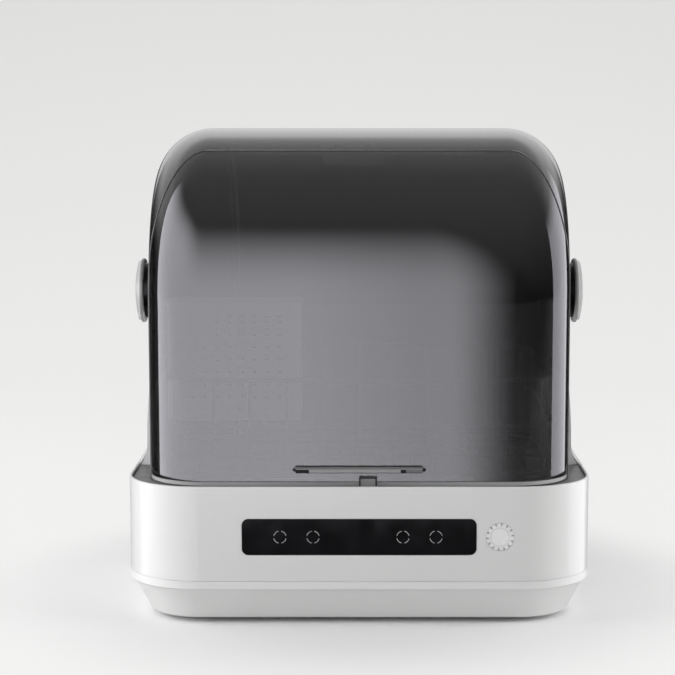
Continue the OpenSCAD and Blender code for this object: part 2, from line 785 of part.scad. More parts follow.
module drain_pump() {
  color("black") translate([drain_pump_x0, sump_y, drain_pump_z]) difference() {
    union() {
      x_rod(0, drain_pump_r, drain_chamber_l);
      x_rod(drain_chamber_l, drain_pump_r - 3, drain_pump_l - drain_chamber_l);
      translate([drain_chamber_l / 2, 0, port_z - drain_pump_z]) y_rod(2, drain_r - 1.5, drain_pump_r + 2);
      translate([drain_pump_l - 14, -12, floor_z - drain_pump_z]) cube([8, 24, drain_pump_z - floor_z]);
    }
    x_rod(2.5, drain_pump_r - 2.5, drain_chamber_l - 5);
    x_rod(-5, pipe_r - 3, 10);
    translate([drain_chamber_l / 2, 0, port_z - drain_pump_z - 2]) y_rod(6, drain_r - 5.5, 40);
  }
  color("silver") translate([drain_pump_x0, sump_y, drain_pump_z])
    x_rod(drain_chamber_l - 4, shaft_r - 0.5, 3);
}

module drain_rotor() {
  color("ivory") translate([drain_pump_x0 + drain_chamber_l - 3.5, sump_y, drain_pump_z])
    rotate([0, -90, 0]) difference() {
      union() {
        cylinder(r = 11, h = 2);
        cylinder(r = 4, h = 8);
        for (i = [0:3]) rotate([0, 0, 90 * i]) translate([2, -0.8, 0]) cube([9, 1.6, 7]);
      }
      translate([0, 0, -1]) cylinder(r = shaft_r - 0.5 + run, h = 8);
    }
}

module suction_pipe() {
  y0 = pump_back - 4;
  y1 = sump_y - sump_r - 2.5 - touch;
  color("dimgray") translate([sump_x, 0, pump_z]) difference() {
    y_rod(y0, pipe_r, y1 - y0);
    y_rod(y0 - 1, pipe_r - 2, y1 - y0 + 2);
  }
  color("dimgray") translate([0, sump_y, drain_pump_z]) {
    x0 = sump_x + sump_r + 2.5 + touch;
    difference() {
      x_rod(x0, pipe_r - 1, drain_pump_x0 - touch - x0);
      x_rod(x0 - 1, pipe_r - 3, drain_pump_x0 - x0 + 2);
    }
  }
}

module feed_pipe() {
  y0 = pump_back - pump_volute_l / 2;
  x0 = sump_x - pump_volute_r - 1;
  color("dimgray") {
    translate([0, y0, pump_z]) x_rod(0, pipe_r, x0);
    translate([0, y0, pump_z]) sphere(pipe_r);
    translate([0, 0, pump_z]) y_rod(y0, pipe_r, -y0);
    translate([0, 0, pump_z]) sphere(pipe_r);
    translate([0, 0, pump_z]) cylinder(r = pipe_r, h = basin_under - 6 - touch - pump_z);
  }
}

module drain_pipe() {
  y0 = sump_y + drain_pump_r + 4 + touch;
  color("black") translate([drain_x, 0, port_z])
    y_rod(y0, drain_r - 1.5, panel_front - 4 - touch - y0);
}

module drain_port() {
  color("gray") translate([drain_x, 0, port_z]) difference() {
    union() {
      y_rod(panel_front - 4, drain_r + 4, 4);
      y_rod(panel_front - 2, drain_r + 1.5, panel_wall + 2);
      y_rod(panel_front - 1, drain_r, panel_wall + 1 + drain_l);
    }
    y_rod(panel_front + 2, drain_r - 2.5, drain_l + 10);
  }
}

module inlet_valve() {
  block_top = basin_under - 4;
  color("gray") translate([inlet_x, 0, inlet_z]) difference() {
    union() {
      y_rod(panel_front - 4, inlet_r + 3.5, 4);
      y_rod(panel_front - 2, inlet_r + 1.5, panel_wall + 2);
      y_rod(panel_front - 1, inlet_r, panel_wall + 1 + inlet_l);
      translate([-13, panel_front - 36, block_top - inlet_z - 50]) cube([26, 34, 50]);
      translate([0, panel_front - 24, block_top - inlet_z - 5])
        cylinder(r = 5, h = basin_under - block_top + 5 - touch);
    }
    y_rod(panel_front, inlet_r - 3, inlet_l + 20);
  }
}

socket_w = 30;
socket_h = 22;
module power_inlet() {
  color("black") translate([socket_x, 0, port_z]) rotate([-90, 0, 0]) difference() {
    union() {
      translate([0, 0, panel_front - 20]) linear_extrude(20 + panel_wall + 3)
        rounded_rect(socket_w, socket_h, 3);
      translate([0, 0, panel_back]) linear_extrude(2) rounded_rect(socket_w + 8, socket_h + 4, 4);
      translate([0, 0, panel_front - 2]) linear_extrude(2) rounded_rect(socket_w + 6, socket_h + 4, 4);
    }
    translate([0, 0, panel_back + 3 - 16]) linear_extrude(20)
      rounded_rect(socket_w - 5, socket_h - 5, 2);
  }
}

module power_pins() {
  color("silver") translate([socket_x, panel_back + 3 - 16, port_z]) for (i = [-1:1])
    translate([i * 7 - 1, 0, i == 0 ? 0.5 : -4.5]) cube([2, 12, 4]);
}

screw_places = [for (x = [-1, 1] * (panel_w / 2 - 9), z = [-1, 1] * (panel_h / 2 - 9)) [x, panel_z + z]];
module panel_screws() {
  color("silver") for (p = screw_places) translate([p.x, 0, p.y]) difference() {
    union() {
      y_rod(panel_front - 3, 1.6, panel_wall + 4);
      y_rod(panel_back, 3.2, 1.8);
    }
    translate([-2, panel_back + 1, -0.4]) cube([4, 3, 0.8]);
    translate([-0.4, panel_back + 1, -2]) cube([0.8, 3, 4]);
  }
}

// ---------- fan and boards ----------

module fan_frame() {
  color("black") translate([fan_x, fan_y, floor_z]) difference() {
    union() {
      difference() {
        linear_extrude(fan_t) rounded_rect(fan_w, fan_w, 5);
        translate([0, 0, -1]) cylinder(r = 28, h = fan_t + 2);
      }
      cylinder(r = 12, h = 2);
      for (a = [0, 90]) rotate([0, 0, a + 45]) translate([-29, -1.5, 0]) cube([58, 3, 2]);
      cylinder(r = 2, h = 12);
    }
    for (sx = [-1, 1], sy = [-1, 1]) translate([sx * 25, sy * 25, -1]) cylinder(r = 2, h = fan_t + 2);
  }
}

module fan_rotor() {
  color("dimgray") translate([fan_x, fan_y, floor_z + 2.5]) difference() {
    union() {
      cylinder(r = 11, h = 13);
      for (i = [0:6]) rotate([0, 0, i * 360 / 7]) translate([9, 0, 6.5]) rotate([35, 0, 0])
        translate([0, -7, -0.8]) cube([17, 14, 1.6]);
    }
    translate([0, 0, -1]) cylinder(r = 2 + run, h = 11);
  }
}

module air_duct() {
  top = basin_under - touch;
  color("gray") translate([fan_x, fan_y, floor_z + fan_t]) difference() {
    union() {
      linear_extrude(3) rounded_rect(fan_w, fan_w, 5);
      linear_extrude(top - floor_z - fan_t) rounded_rect(fan_w - 14, fan_w - 14, 6);
    }
    translate([0, 0, -1]) linear_extrude(top - floor_z - fan_t - 1)
      rounded_rect(fan_w - 18, fan_w - 18, 4);
  }
}

module power_board() {
  color("darkgreen") translate([60 - basin_w / 2, 55 - base_d / 2, 0]) {
    translate([0, 0, floor_z + 6]) cube([110, 70, 1.6]);
    for (x = [6, 104], y = [6, 64]) translate([x, y, floor_z]) cylinder(r = 3, h = 6);
    translate([12, 14, floor_z + 7.6]) cube([28, 22, 20]);
    translate([52, 12, floor_z + 7.6]) cube([20, 16, 16]);
    for (i = [0:2]) translate([20 + i * 18, 54, floor_z + 7.6]) cylinder(r = 6, h = 18);
    translate([84, 20, floor_z + 7.6]) cube([14, 34, 26]);
  }
}

module display_board() {
  board_y = -inner_y + 4;
  board_w = glass_w - 26;
  board_h = glass_h - 2;
  color("darkgreen") {
    translate([-board_w / 2, board_y, glass_z - board_h / 2]) cube([board_w, 1.6, board_h]);
    for (sx = [-1, 1], sz = [-1, 1])
      translate([sx * (board_w / 2 - 6), -inner_y, glass_z + sz * (board_h / 2 - 5)]) y_rod(0, 2.5, 4);
    translate([-20, board_y + 1.6, glass_z - 8]) cube([26, 3, 16]);
    translate([50, board_y + 1.6, glass_z - 6]) cube([22, 6, 8]);
  }
}

module control_glass() {
  color("#0b0b0d") translate([0, -base_d / 2 + glass_t, glass_z]) rotate([90, 0, 0])
    linear_extrude(glass_t) rounded_rect(glass_w, glass_h, glass_r);
}

module badge_disc() {
  color("white") translate([badge_x, -base_d / 2 + badge_t, glass_z]) rotate([90, 0, 0]) difference() {
    cylinder(r = badge_r, h = badge_t);
    for (i = [0:13]) rotate([0, 0, i * 360 / 14]) translate([badge_r + 0.5, 0, -1])
      cylinder(r = 1.3, h = 5);
    translate([0, 0, badge_t - 0.4]) difference() {
      cylinder(r = badge_r - 3.4, h = 5);
      translate([0, 0, -1]) cylinder(r = badge_r - 4.2, h = 10);
    }
  }
}

module rubber_feet() {
  color("dimgray") for (sx = [-1, 1], sy = [-1, 1]) translate([sx * foot_x, sy * foot_y, 0]) {
    cylinder(r1 = foot_r - 1, r2 = foot_r, h = 2);
    translate([0, 0, 2]) cylinder(r = foot_r, h = foot_h - 2);
  }
}

// ---------- hood ----------

// side view of what lies behind the window's edge, in the frame of the pivot
module behind_window() {
  translate([0, 0, -hood_w]) linear_extrude(2 * hood_w) {
    translate([crease_y - crease_r, crease_rise]) circle(crease_r, $fn = 200);
    translate([-3 * hood_r, -3 * hood_r]) square([3 * hood_r + crease_y, 3 * hood_r + crease_rise]);
  }
}

module hood_window() {
  color("#3a3d42", 0.55) difference() {
    hood_body(window_step, hood_rear_angle, hood_drop);
    hood_body(hood_wall, hood_rear_angle + 3, pivot_z);
    at_pivot() behind_window();
  }
}

module hood_frame() {
  color("#6b6e73", 0.8) difference() {
    union() {
      intersection() {
        difference() {
          hood_body(0, hood_rear_angle, hood_drop);
          hood_body(hood_wall, hood_rear_angle + 3, pivot_z);
        }
        at_pivot() behind_window();
        cross_slab(-hood_r, 2 * hood_r);
      }
      both_sides() translate([0, 0, pivot_z]) x_rod(hood_x - hood_wall, hub_r, hood_wall);
    }
    // rear edge of the side walls under the hubs
    difference() {
      translate([-hood_w, -hood_side_back, 0]) cube([2 * hood_w, hood_r, pivot_z]);
      translate([0, 0, pivot_z]) x_rod(-hood_w, hub_r, 2 * hood_w);
    }
    translate([0, 0, pivot_z]) x_rod(-hood_w, pin_r + 2, 2 * hood_w);
  }
}

module hub_bushes() {
  color("ivory") both_sides() translate([0, 0, pivot_z]) difference() {
    x_rod(hood_x - hood_wall, pin_r + 2 - touch, hood_wall);
    x_rod(hood_x - 2 * hood_wall, pin_r + run, 4 * hood_wall);
  }
}

module handle_lip() {
  color("#1a1a1c") translate([0, -window_front, handle_z]) rotate([90, 0, 0]) {
    translate([0, handle_t / 2, 0]) linear_extrude(2)
      rounded_rect(handle_w, handle_t, handle_t / 2 - 0.05);
    translate([0, handle_t - 1.3, 0]) linear_extrude(handle_reach)
      square([handle_w - 6, 2.4], center = true);
    translate([-(handle_w - 6) / 2, handle_t - 4.2, handle_reach - 1.6]) cube([handle_w - 6, 4, 1.6]);
  }
}

module latch_tab() {
  color("#2c2d30") translate([catch_x, -window_front, hood_bottom + catch_h / 2]) rotate([90, 0, 0])
    difference() {
      linear_extrude(2.6) rounded_rect(catch_w, catch_h, 1.2);
      translate([0, -1.5, 1.8]) linear_extrude(5) rounded_rect(catch_w - 3, catch_h - 1, 1);
    }
}

// ---------- spray arm ----------

module spray_arm() {
  tip_r = blade_w / 3;
  color("silver") difference() {
    union() {
      translate([0, 0, arm_z]) cylinder(r = 21, h = 15);
      translate([0, 0, arm_z + 3]) linear_extrude(blade_t) for (turn = [0, 180]) rotate(turn) {
        polygon([[0, -blade_w / 2], [blade_l - tip_r, -tip_r], [blade_l - tip_r, tip_r],
          [0, blade_w / 2]]);
        translate([blade_l - tip_r, 0]) circle(tip_r);
      }
      for (turn = [0, 180]) rotate([0, 0, turn]) translate([0, 0, arm_z + 3 + blade_t - 0.5])
        rotate([0, 90, 0]) cylinder(r = 3, h = blade_l - 14);
    }
    translate([0, 0, arm_z - 1]) cylinder(r = hub_pin_r + run, h = 14.7);
    for (turn = [0, 180], i = [0:4]) rotate([0, 0, turn])
      translate([34 + i * 20, 6 - i * 0.6, arm_z + 4]) cylinder(r = 1.4, h = 20);
  }
}

// ---------- rack ----------

// the wires of one side of the rack: three long ones and n upright ones
module wire_grid(length, n) {
  translate([0, 0, rack_z]) x_rod(-length / 2, wire_r, length);
  translate([0, 0, shelf_z]) x_rod(-length / 2, thin_wire_r, length);
  translate([0, 0, rack_top_z]) x_rod(-length / 2, wire_r, length);
  for (i = [0:n - 1]) translate([(i - (n - 1) / 2) * tine_pitch, 0, rack_z])
    cylinder(r = thin_wire_r, h = rack_h);
}

// front and back of the rack
module rack_ends() {
  color("whitesmoke") for (sy = [-1, 1]) translate([0, rack_mid_y + sy * rack_d / 2, 0])
    wire_grid(rack_w - 2 * rack_corner_r, 9);
}

// sides of the rack with the feet on the deck, and the wires that carry the basket
module rack_sides() {
  color("whitesmoke") for (sx = [-1, 1]) translate([sx * rack_side_x, rack_mid_y, 0]) {
    rotate([0, 0, 90]) wire_grid(rack_d - 2 * rack_corner_r, 5);
    for (i = [-2, 2]) translate([0, i * tine_pitch, deck_z + touch])
      cylinder(r = 3.6, h = rack_rise);
  }
  span = rack_d - 2 * (thin_wire_r + touch);
  color("whitesmoke") for (x = [-1, 0, 1] * 0.7 * tine_pitch)
    translate([basket_x + x, rack_mid_y - span / 2, shelf_z]) y_rod(0, shelf_wire_r, span);
}

// bent corners of the rack
module rack_frame() {
  color("whitesmoke") for (i = [0:3]) {
    sx = (i == 0 || i == 3) ? 1 : -1;
    sy = i < 2 ? 1 : -1;
    translate([sx * (rack_side_x - rack_corner_r), rack_mid_y + sy * (rack_d / 2 - rack_corner_r), 0])
      rotate([0, 0, 90 * i]) {
        for (wire = [[rack_z, wire_r], [shelf_z, thin_wire_r], [rack_top_z, wire_r]])
          translate([0, 0, wire[0]]) rotate_extrude(angle = 90) translate([rack_corner_r, 0])
            circle(wire[1]);
        rotate([0, 0, 45]) translate([rack_corner_r, 0, rack_z]) cylinder(r = thin_wire_r + 0.2, h = rack_h);
      }
  }
}

module rack_floor() {
  span = rack_d - 2 * touch;
  color("whitesmoke") {
    for (i = [-4.5:4.5]) translate([i * tine_pitch, rack_mid_y - span / 2, floor_wire_z])
      y_rod(0, thin_wire_r, span);
    for (y = [-1, 0, 1] * 90) translate([0, y, floor_wire_z + 1.4 * thin_wire_r])
      x_rod(-rack_side_x + thin_wire_r + touch, thin_wire_r, rack_w - 2 * (thin_wire_r + touch));
  }
}

module rack_tines() {
  row_z = floor_wire_z + 2 * thin_wire_r + touch;
  color("whitesmoke") for (y = [-48, 42]) {
    translate([0, y, row_z]) x_rod(-tine_pitch - 6, thin_wire_r, plate_slots * tine_pitch + 12);
    for (i = [0:plate_slots]) translate([(i - 1) * tine_pitch, y, row_z]) {
      cylinder(r = thin_wire_r, h = tine_h);
      translate([0, 0, tine_h]) sphere(thin_wire_r);
    }
  }
}

basket_post_r = 7;
basket_floor_t = 2;
basket_rim_h = 4;
// floor, corner posts and rim
module cutlery_basket() {
  color("gainsboro") translate([basket_x, basket_y, basket_z]) {
    linear_extrude(basket_floor_t) rounded_rect(basket_w, basket_d, basket_post_r);
    difference() {
      linear_extrude(basket_h) rounded_rect(basket_w, basket_d, basket_post_r);
      translate([0, 0, -1]) linear_extrude(basket_h + 2)
        rounded_rect(basket_w - 2 * basket_wall, basket_d - 2 * basket_wall,
          basket_post_r - basket_wall);
      translate([0, 0, basket_h / 2]) {
        cube([basket_w - 2 * basket_post_r, 2 * basket_d, 2 * basket_h], center = true);
        cube([2 * basket_w, basket_d - 2 * basket_post_r, 2 * basket_h], center = true);
      }
    }
    translate([0, 0, basket_h - basket_rim_h]) linear_extrude(basket_rim_h) difference() {
      rounded_rect(basket_w + 3, basket_d + 3, basket_post_r + 1.5);
      rounded_rect(basket_w - 2 * basket_wall, basket_d - 2 * basket_wall,
        basket_post_r - basket_wall);
    }
  }
}

// upright wall with square holes, in the XZ plane
module hole_grid(width) {
  cols = floor((width - 6) / basket_pitch);
  rows = floor((basket_h - 16) / basket_pitch);
  rotate([90, 0, 0]) linear_extrude(basket_wall, center = true) difference() {
    translate([-width / 2, basket_floor_t])
      square([width, basket_h - basket_floor_t - basket_rim_h]);
    for (i = [0:cols - 1], j = [0:rows - 1])
      translate([(i - (cols - 1) / 2) * basket_pitch, 12 + j * basket_pitch])
        square(basket_hole, center = true);
  }
}

// front, back, ends and partition of the basket
module basket_walls() {
  color("gainsboro") translate([basket_x, basket_y, basket_z]) {
    for (s = [-1, 1]) {
      translate([0, s * (basket_d - basket_wall) / 2, 0]) hole_grid(basket_w - 2 * basket_post_r);
      translate([s * (basket_w - basket_wall) / 2, 0, 0]) rotate([0, 0, 90])
        hole_grid(basket_d - 2 * basket_post_r);
    }
    rotate([0, 0, 90]) hole_grid(basket_d - 2 * (basket_wall + touch));
  }
}

base_pan();
outer_housing();
service_panel();
wash_tub();
tub_deck();
deck_seal();
spray_hub();
sump_cup();
sump_filter();
side_arm_left();
side_arm_right();
pivot_pins();
hinge_washers();
pivot_collar_left();
pivot_collar_right();
pivot_flange_left();
pivot_flange_right();
pivot_cap_left();
pivot_cap_right();
rear_shell();
shell_seal();
uv_lamp_housing();
uv_lamp_tube();
riser_pipe();
top_nozzle();
heating_element();
wash_pump();
wash_rotor();
drain_pump();
drain_rotor();
suction_pipe();
feed_pipe();
drain_pipe();
drain_port();
inlet_valve();
power_inlet();
power_pins();
fan_frame();
fan_rotor();
air_duct();
power_board();
display_board();
control_glass();
badge_disc();
rubber_feet();
panel_screws();
latch_keeper();
hood_window();
hood_frame();
handle_lip();
latch_tab();
hub_bushes();
spray_arm();
rack_frame();
rack_ends();
rack_sides();
rack_floor();
basket_walls();
rack_tines();
cutlery_basket();
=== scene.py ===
"""Looks, light and camera of a countertop dishwasher with a swing-back smoked hood."""

from __future__ import annotations

import json
import logging
import math
from dataclasses import dataclass
from enum import Enum
from typing import ClassVar, Protocol

import bmesh
import bpy
from mathutils import Matrix, Vector

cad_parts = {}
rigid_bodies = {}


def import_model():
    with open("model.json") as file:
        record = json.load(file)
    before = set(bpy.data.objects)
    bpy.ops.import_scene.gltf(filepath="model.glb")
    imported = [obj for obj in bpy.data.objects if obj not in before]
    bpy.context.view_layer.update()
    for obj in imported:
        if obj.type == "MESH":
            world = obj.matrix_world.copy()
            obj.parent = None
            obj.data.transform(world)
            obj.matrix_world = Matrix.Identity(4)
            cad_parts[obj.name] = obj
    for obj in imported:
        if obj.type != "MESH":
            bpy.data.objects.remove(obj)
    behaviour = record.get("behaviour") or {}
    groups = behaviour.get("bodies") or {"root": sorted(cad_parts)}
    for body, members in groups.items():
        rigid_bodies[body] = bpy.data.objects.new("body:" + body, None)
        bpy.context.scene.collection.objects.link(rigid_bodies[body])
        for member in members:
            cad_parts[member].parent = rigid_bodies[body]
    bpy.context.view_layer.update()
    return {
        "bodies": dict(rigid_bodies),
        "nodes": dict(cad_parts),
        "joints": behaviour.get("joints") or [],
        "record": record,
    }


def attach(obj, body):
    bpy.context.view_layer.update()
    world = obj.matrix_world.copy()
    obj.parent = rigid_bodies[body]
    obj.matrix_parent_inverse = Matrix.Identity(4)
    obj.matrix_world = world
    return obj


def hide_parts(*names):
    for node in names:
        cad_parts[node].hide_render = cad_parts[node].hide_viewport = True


LOG = logging.getLogger("dishwasher")
WELD = 1e-6
NOISE_MIDDLE = (0.3, 0.7)  # nearly all of a noise lies between these two values
Colour = tuple[float, float, float]
Point = tuple[float, float, float]
Socket = bpy.types.NodeSocket


class Axis(Enum):
    """The way a pattern runs along a piece, as the scale of its coordinates."""

    X = (0.05, 1.0, 1.0)
    Y = (1.0, 0.05, 1.0)
    EVEN = (1.0, 1.0, 1.0)


@dataclass(frozen=True)
class Pattern:
    """A noise: its waves to the metre, its finer layers and the way it runs."""

    scale: float
    detail: float = 3.0
    along: Axis = Axis.EVEN


class Body(Enum):
    """The moving groups that new pieces ride on."""

    BASE = "base"
    HOOD = "hood"


# ---------------------------------------------------------------- node graphs


class Graph:
    """A short way to build the nodes of a material or of the world."""

    def __init__(self, owner: bpy.types.Material | bpy.types.World, ending: str) -> None:
        """Empties the owner's node tree and gives it an output.

        Args:
            owner: The material or the world.
            ending: The output node's type without the ShaderNode prefix.
        """
        owner.use_nodes = True
        self.owner = owner
        self.nodes = owner.node_tree.nodes
        self.links = owner.node_tree.links
        self.nodes.clear()
        self.output = self.node(ending)

    def node(self, kind: str, **values: object) -> bpy.types.Node:
        """Adds a node.

        Args:
            kind: The node's type without the ShaderNode prefix.
            values: Properties of the node to set.

        Returns:
            The new node.
        """
        made = self.nodes.new("ShaderNode" + kind)
        for key, value in values.items():
            setattr(made, key, value)
        return made

    def feed(self, source: Socket | float | Colour, target: Socket) -> None:
        """Links an output to an input, or sets a fixed number or colour on it.

        Args:
            source: The output, number or colour.
            target: The input.
        """
        if isinstance(source, Socket):
            self.links.new(source, target)
        else:
            target.default_value = (*source, 1) if isinstance(source, tuple) else source

    def place(self, along: Axis = Axis.EVEN) -> Socket:
        """Object coordinates, with the pattern drawn out along one axis.

        Args:
            along: The axis along which the pattern is long.

        Returns:
            The vector socket.
        """
        coords = self.node("TexCoord")
        mapping = self.node("Mapping")
        mapping.inputs["Scale"].default_value = along.value
        self.feed(coords.outputs["Object"], mapping.inputs["Vector"])
        return mapping.outputs["Vector"]

    def split(self, vector: Socket) -> bpy.types.NodeOutputs:
        """Splits a vector.

        Args:
            vector: The vector.

        Returns:
            Its X, Y and Z outputs.
        """
        parts = self.node("SeparateXYZ")
        self.feed(vector, parts.inputs[0])
        return parts.outputs

    def length(self, vector: Socket) -> Socket:
        """The length of a vector.

        Args:
            vector: The vector.

        Returns:
            Its length.
        """
        made = self.node("VectorMath", operation="LENGTH")
        self.feed(vector, made.inputs[0])
        return made.outputs["Value"]

    def reach(self, first: Socket, second: Socket) -> Socket:
        """The distance that two parts at right angles make.

        Args:
            first: The first part.
            second: The second part.

        Returns:
            The distance.
        """
        made = self.node("CombineXYZ")
        self.feed(first, made.inputs[0])
        self.feed(second, made.inputs[1])
        return self.length(made.outputs[0])

    def calc(self, operation: str, first: Socket | float, second: Socket | float = 0.0) -> Socket:
        """One step of arithmetic.

        Args:
            operation: The Math node's operation.
            first: The first value.
            second: The second value.

        Returns:
            The result.
        """
        made = self.node("Math", operation=operation)
        self.feed(first, made.inputs[0])
        self.feed(second, made.inputs[1])
        return made.outputs[0]

    def remap(
        self,
        source: Socket,
        start: float,
        end: float,
        low: float = 0.0,
        high: float = 1.0,
        smooth: bool = False,
    ) -> Socket:
        """Maps start..end to low..high and holds both ends.

        Args:
            source: The value.
            start: Where the low value ends.
            end: Where the high value begins.
            low: The low value.
            high: The high value.
            smooth: Eases in and out.

        Returns:
            The mapped value.
        """
        made = self.node("MapRange", interpolation_type="SMOOTHSTEP" if smooth else "LINEAR")
        values = (source, start, end, low, high)
        for name, value in zip(("Value", "From Min", "From Max", "To Min", "To Max"), values):
            self.feed(value, made.inputs[name])
        return made.outputs["Result"]

    def noise(self, pattern: Pattern) -> Socket:
        """Noise on Object coordinates.

        Args:
            pattern: Its scale, detail and way.

        Returns:
            The factor socket, about 0 to 1.
        """
        made = self.node("TexNoise")
        self.feed(pattern.scale, made.inputs["Scale"])
        self.feed(pattern.detail, made.inputs["Detail"])
        self.feed(self.place(pattern.along), made.inputs["Vector"])
        return made.outputs["Fac"]

    def spread(self, noise: Socket, low: float, high: float) -> Socket:
        """Maps the middle of a noise to low..high.

        Args:
            noise: The noise.
            low: Value in its low places.
            high: Value in its high places.

        Returns:
            The mapped socket.
        """
        return self.remap(noise, *NOISE_MIDDLE, low, high)

    def ramp(
        self, source: Socket, dark: Colour, pale: Colour, stops: tuple[float, float] = (0.0, 1.0)
    ) -> Socket:
        """Blends two colours by a value.

        Args:
            source: The value.
            dark: Colour where it is low.
            pale: Colour where it is high.
            stops: The values at which each colour is pure.

        Returns:
            The colour socket.
        """
        made = self.node("ValToRGB")
        for stop, place, colour in zip(made.color_ramp.elements, stops, (dark, pale)):
            stop.position = place
            stop.color = (*colour, 1)
        self.feed(source, made.inputs["Fac"])
        return made.outputs["Color"]

    def mottle(self, noise: Socket, colour: Colour, by: float) -> Socket:
        """A colour that a noise makes darker and paler.

        Args:
            noise: The noise.
            colour: The middle colour.
            by: The change each way, as a share.

        Returns:
            The colour socket.
        """
        return self.ramp(noise, shade(colour, 1 - by), shade(colour, 1 + by), NOISE_MIDDLE)

    def mix(self, factor: Socket, source: Socket, value: Colour | float) -> Socket:
        """Blends a socket towards a fixed colour or number.

        Args:
            factor: The share of the fixed value.
            source: The socket to blend from.
            value: The value to blend to.

        Returns:
            The blended socket.
        """
        number = isinstance(value, float)
        made = self.node("Mix", data_type="FLOAT" if number else "RGBA")
        self.feed(factor, made.inputs[0])
        self.feed(source, made.inputs[2 if number else 6])
        self.feed(value, made.inputs[3 if number else 7])
        return made.outputs[0 if number else 2]

    def bump(self, height: Socket, strength: float, depth: float) -> Socket:
        """A bump from a height.

        Args:
            height: The height socket.
            strength: Share of the bump that shows.
            depth: Height of the bump in metres.

        Returns:
            The normal socket.
        """
        made = self.node("Bump")
        self.feed(strength, made.inputs["Strength"])
        self.feed(depth, made.inputs["Distance"])
        self.feed(height, made.inputs["Height"])
        return made.outputs["Normal"]

    def principled(
        self, colour: Socket, rough: Socket, normal: Socket, **others: Socket | float
    ) -> bpy.types.Node:
        """A principled shader.

        Args:
            colour: Its base colour.
            rough: Its roughness.
            normal: Its normal.
            others: Values for other inputs, with _ for a space in the input's name.

        Returns:
            The shader.
        """
        made = self.node("BsdfPrincipled")
        self.feed(colour, made.inputs["Base Color"])
        self.feed(rough, made.inputs["Roughness"])
        self.feed(normal, made.inputs["Normal"])
        for name, value in others.items():
            self.feed(value, made.inputs[name.replace("_", " ")])
        return made

    def blend(self, factor: Socket, first: bpy.types.Node, last: bpy.types.Node) -> bpy.types.Node:
        """Mixes two shaders.

        Args:
            factor: The share of the last one.
            first: The shader at 0.
            last: The shader at 1.

        Returns:
            The mix.
        """
        made = self.node("MixShader")
        self.feed(factor, made.inputs["Fac"])
        self.feed(first.outputs[0], made.inputs[1])
        self.feed(last.outputs[0], made.inputs[2])
        return made

    def surface(self, shader: bpy.types.Node) -> bpy.types.Material | bpy.types.World:
        """Ends the graph with that shader and gives its owner."""
        self.feed(shader.outputs[0], self.output.inputs["Surface"])
        return self.owner


def material_graph(name: str) -> Graph:
    """Starts an empty material of that name."""
    return Graph(bpy.data.materials.new(name), "OutputMaterial")


def shade(colour: Colour, by: float) -> Colour:
    """The colour made darker or paler by a factor."""
    return tuple(min(1.0, c * by) for c in colour)


# ---------------------------------------------------------------- finishes


class Finish(Protocol):
    """Anything that can build a material."""

    name: str

    def build(self) -> bpy.types.Material:
        """Builds the material."""


@dataclass(frozen=True)
class Moulded:
    """Injection-moulded plastic or rubber with a fine spark-eroded grain."""

    name: str
    colour: Colour
    rough: float = 0.35
    spread: float = 0.06
    grain: Pattern = Pattern(1400.0, 2.0)
    relief: float = 0.12
    depth: float = 0.0002
    mottle: float = 0.03
    coat: float = 0.0
    coat_rough: float = 0.12
    ior: float = 1.5
    cloud: Pattern = Pattern(9.0, 4.0)
    smudge: Pattern = Pattern(60.0, 5.0)

    def build(self) -> bpy.types.Material:
        """Builds the plastic.

        Returns:
            The material.
        """
        g = material_graph(self.name)
        smudge = g.noise(self.smudge)
        plastic = g.principled(
            g.mottle(g.noise(self.cloud), self.colour, self.mottle),
            g.spread(smudge, self.rough - self.spread, self.rough + self.spread),
            g.bump(g.noise(self.grain), self.relief, self.depth),
            IOR=self.ior,
            Coat_Weight=self.coat,
            Coat_Roughness=self.coat_rough,
        )
        return g.surface(plastic)


@dataclass(frozen=True)
class Metal:
    """Drawn, turned or brushed metal."""

    name: str
    colour: Colour = (0.66, 0.66, 0.65)
    rough: float = 0.28
    lines: Pattern = Pattern(900.0, along=Axis.X)
    heat: Colour | None = None
    cloud: Pattern = Pattern(40.0, 4.0)
    dark: float = 0.93
    pale: float = 1.08
    bright: float = 0.08
    dull: float = 0.10
    relief: float = 0.15
    depth: float = 0.0001

    def build(self) -> bpy.types.Material:
        """Builds the metal.

        Returns:
            The material.
        """
        g = material_graph(self.name)
        lines = g.noise(self.lines)
        dark, pale = shade(self.colour, self.dark), self.heat or shade(self.colour, self.pale)
        metal = g.principled(
            g.ramp(g.noise(self.cloud), dark, pale, NOISE_MIDDLE),
            g.spread(lines, self.rough - self.bright, self.rough + self.dull),
            g.bump(lines, self.relief, self.depth),
            Metallic=1.0,
        )
        return g.surface(metal)


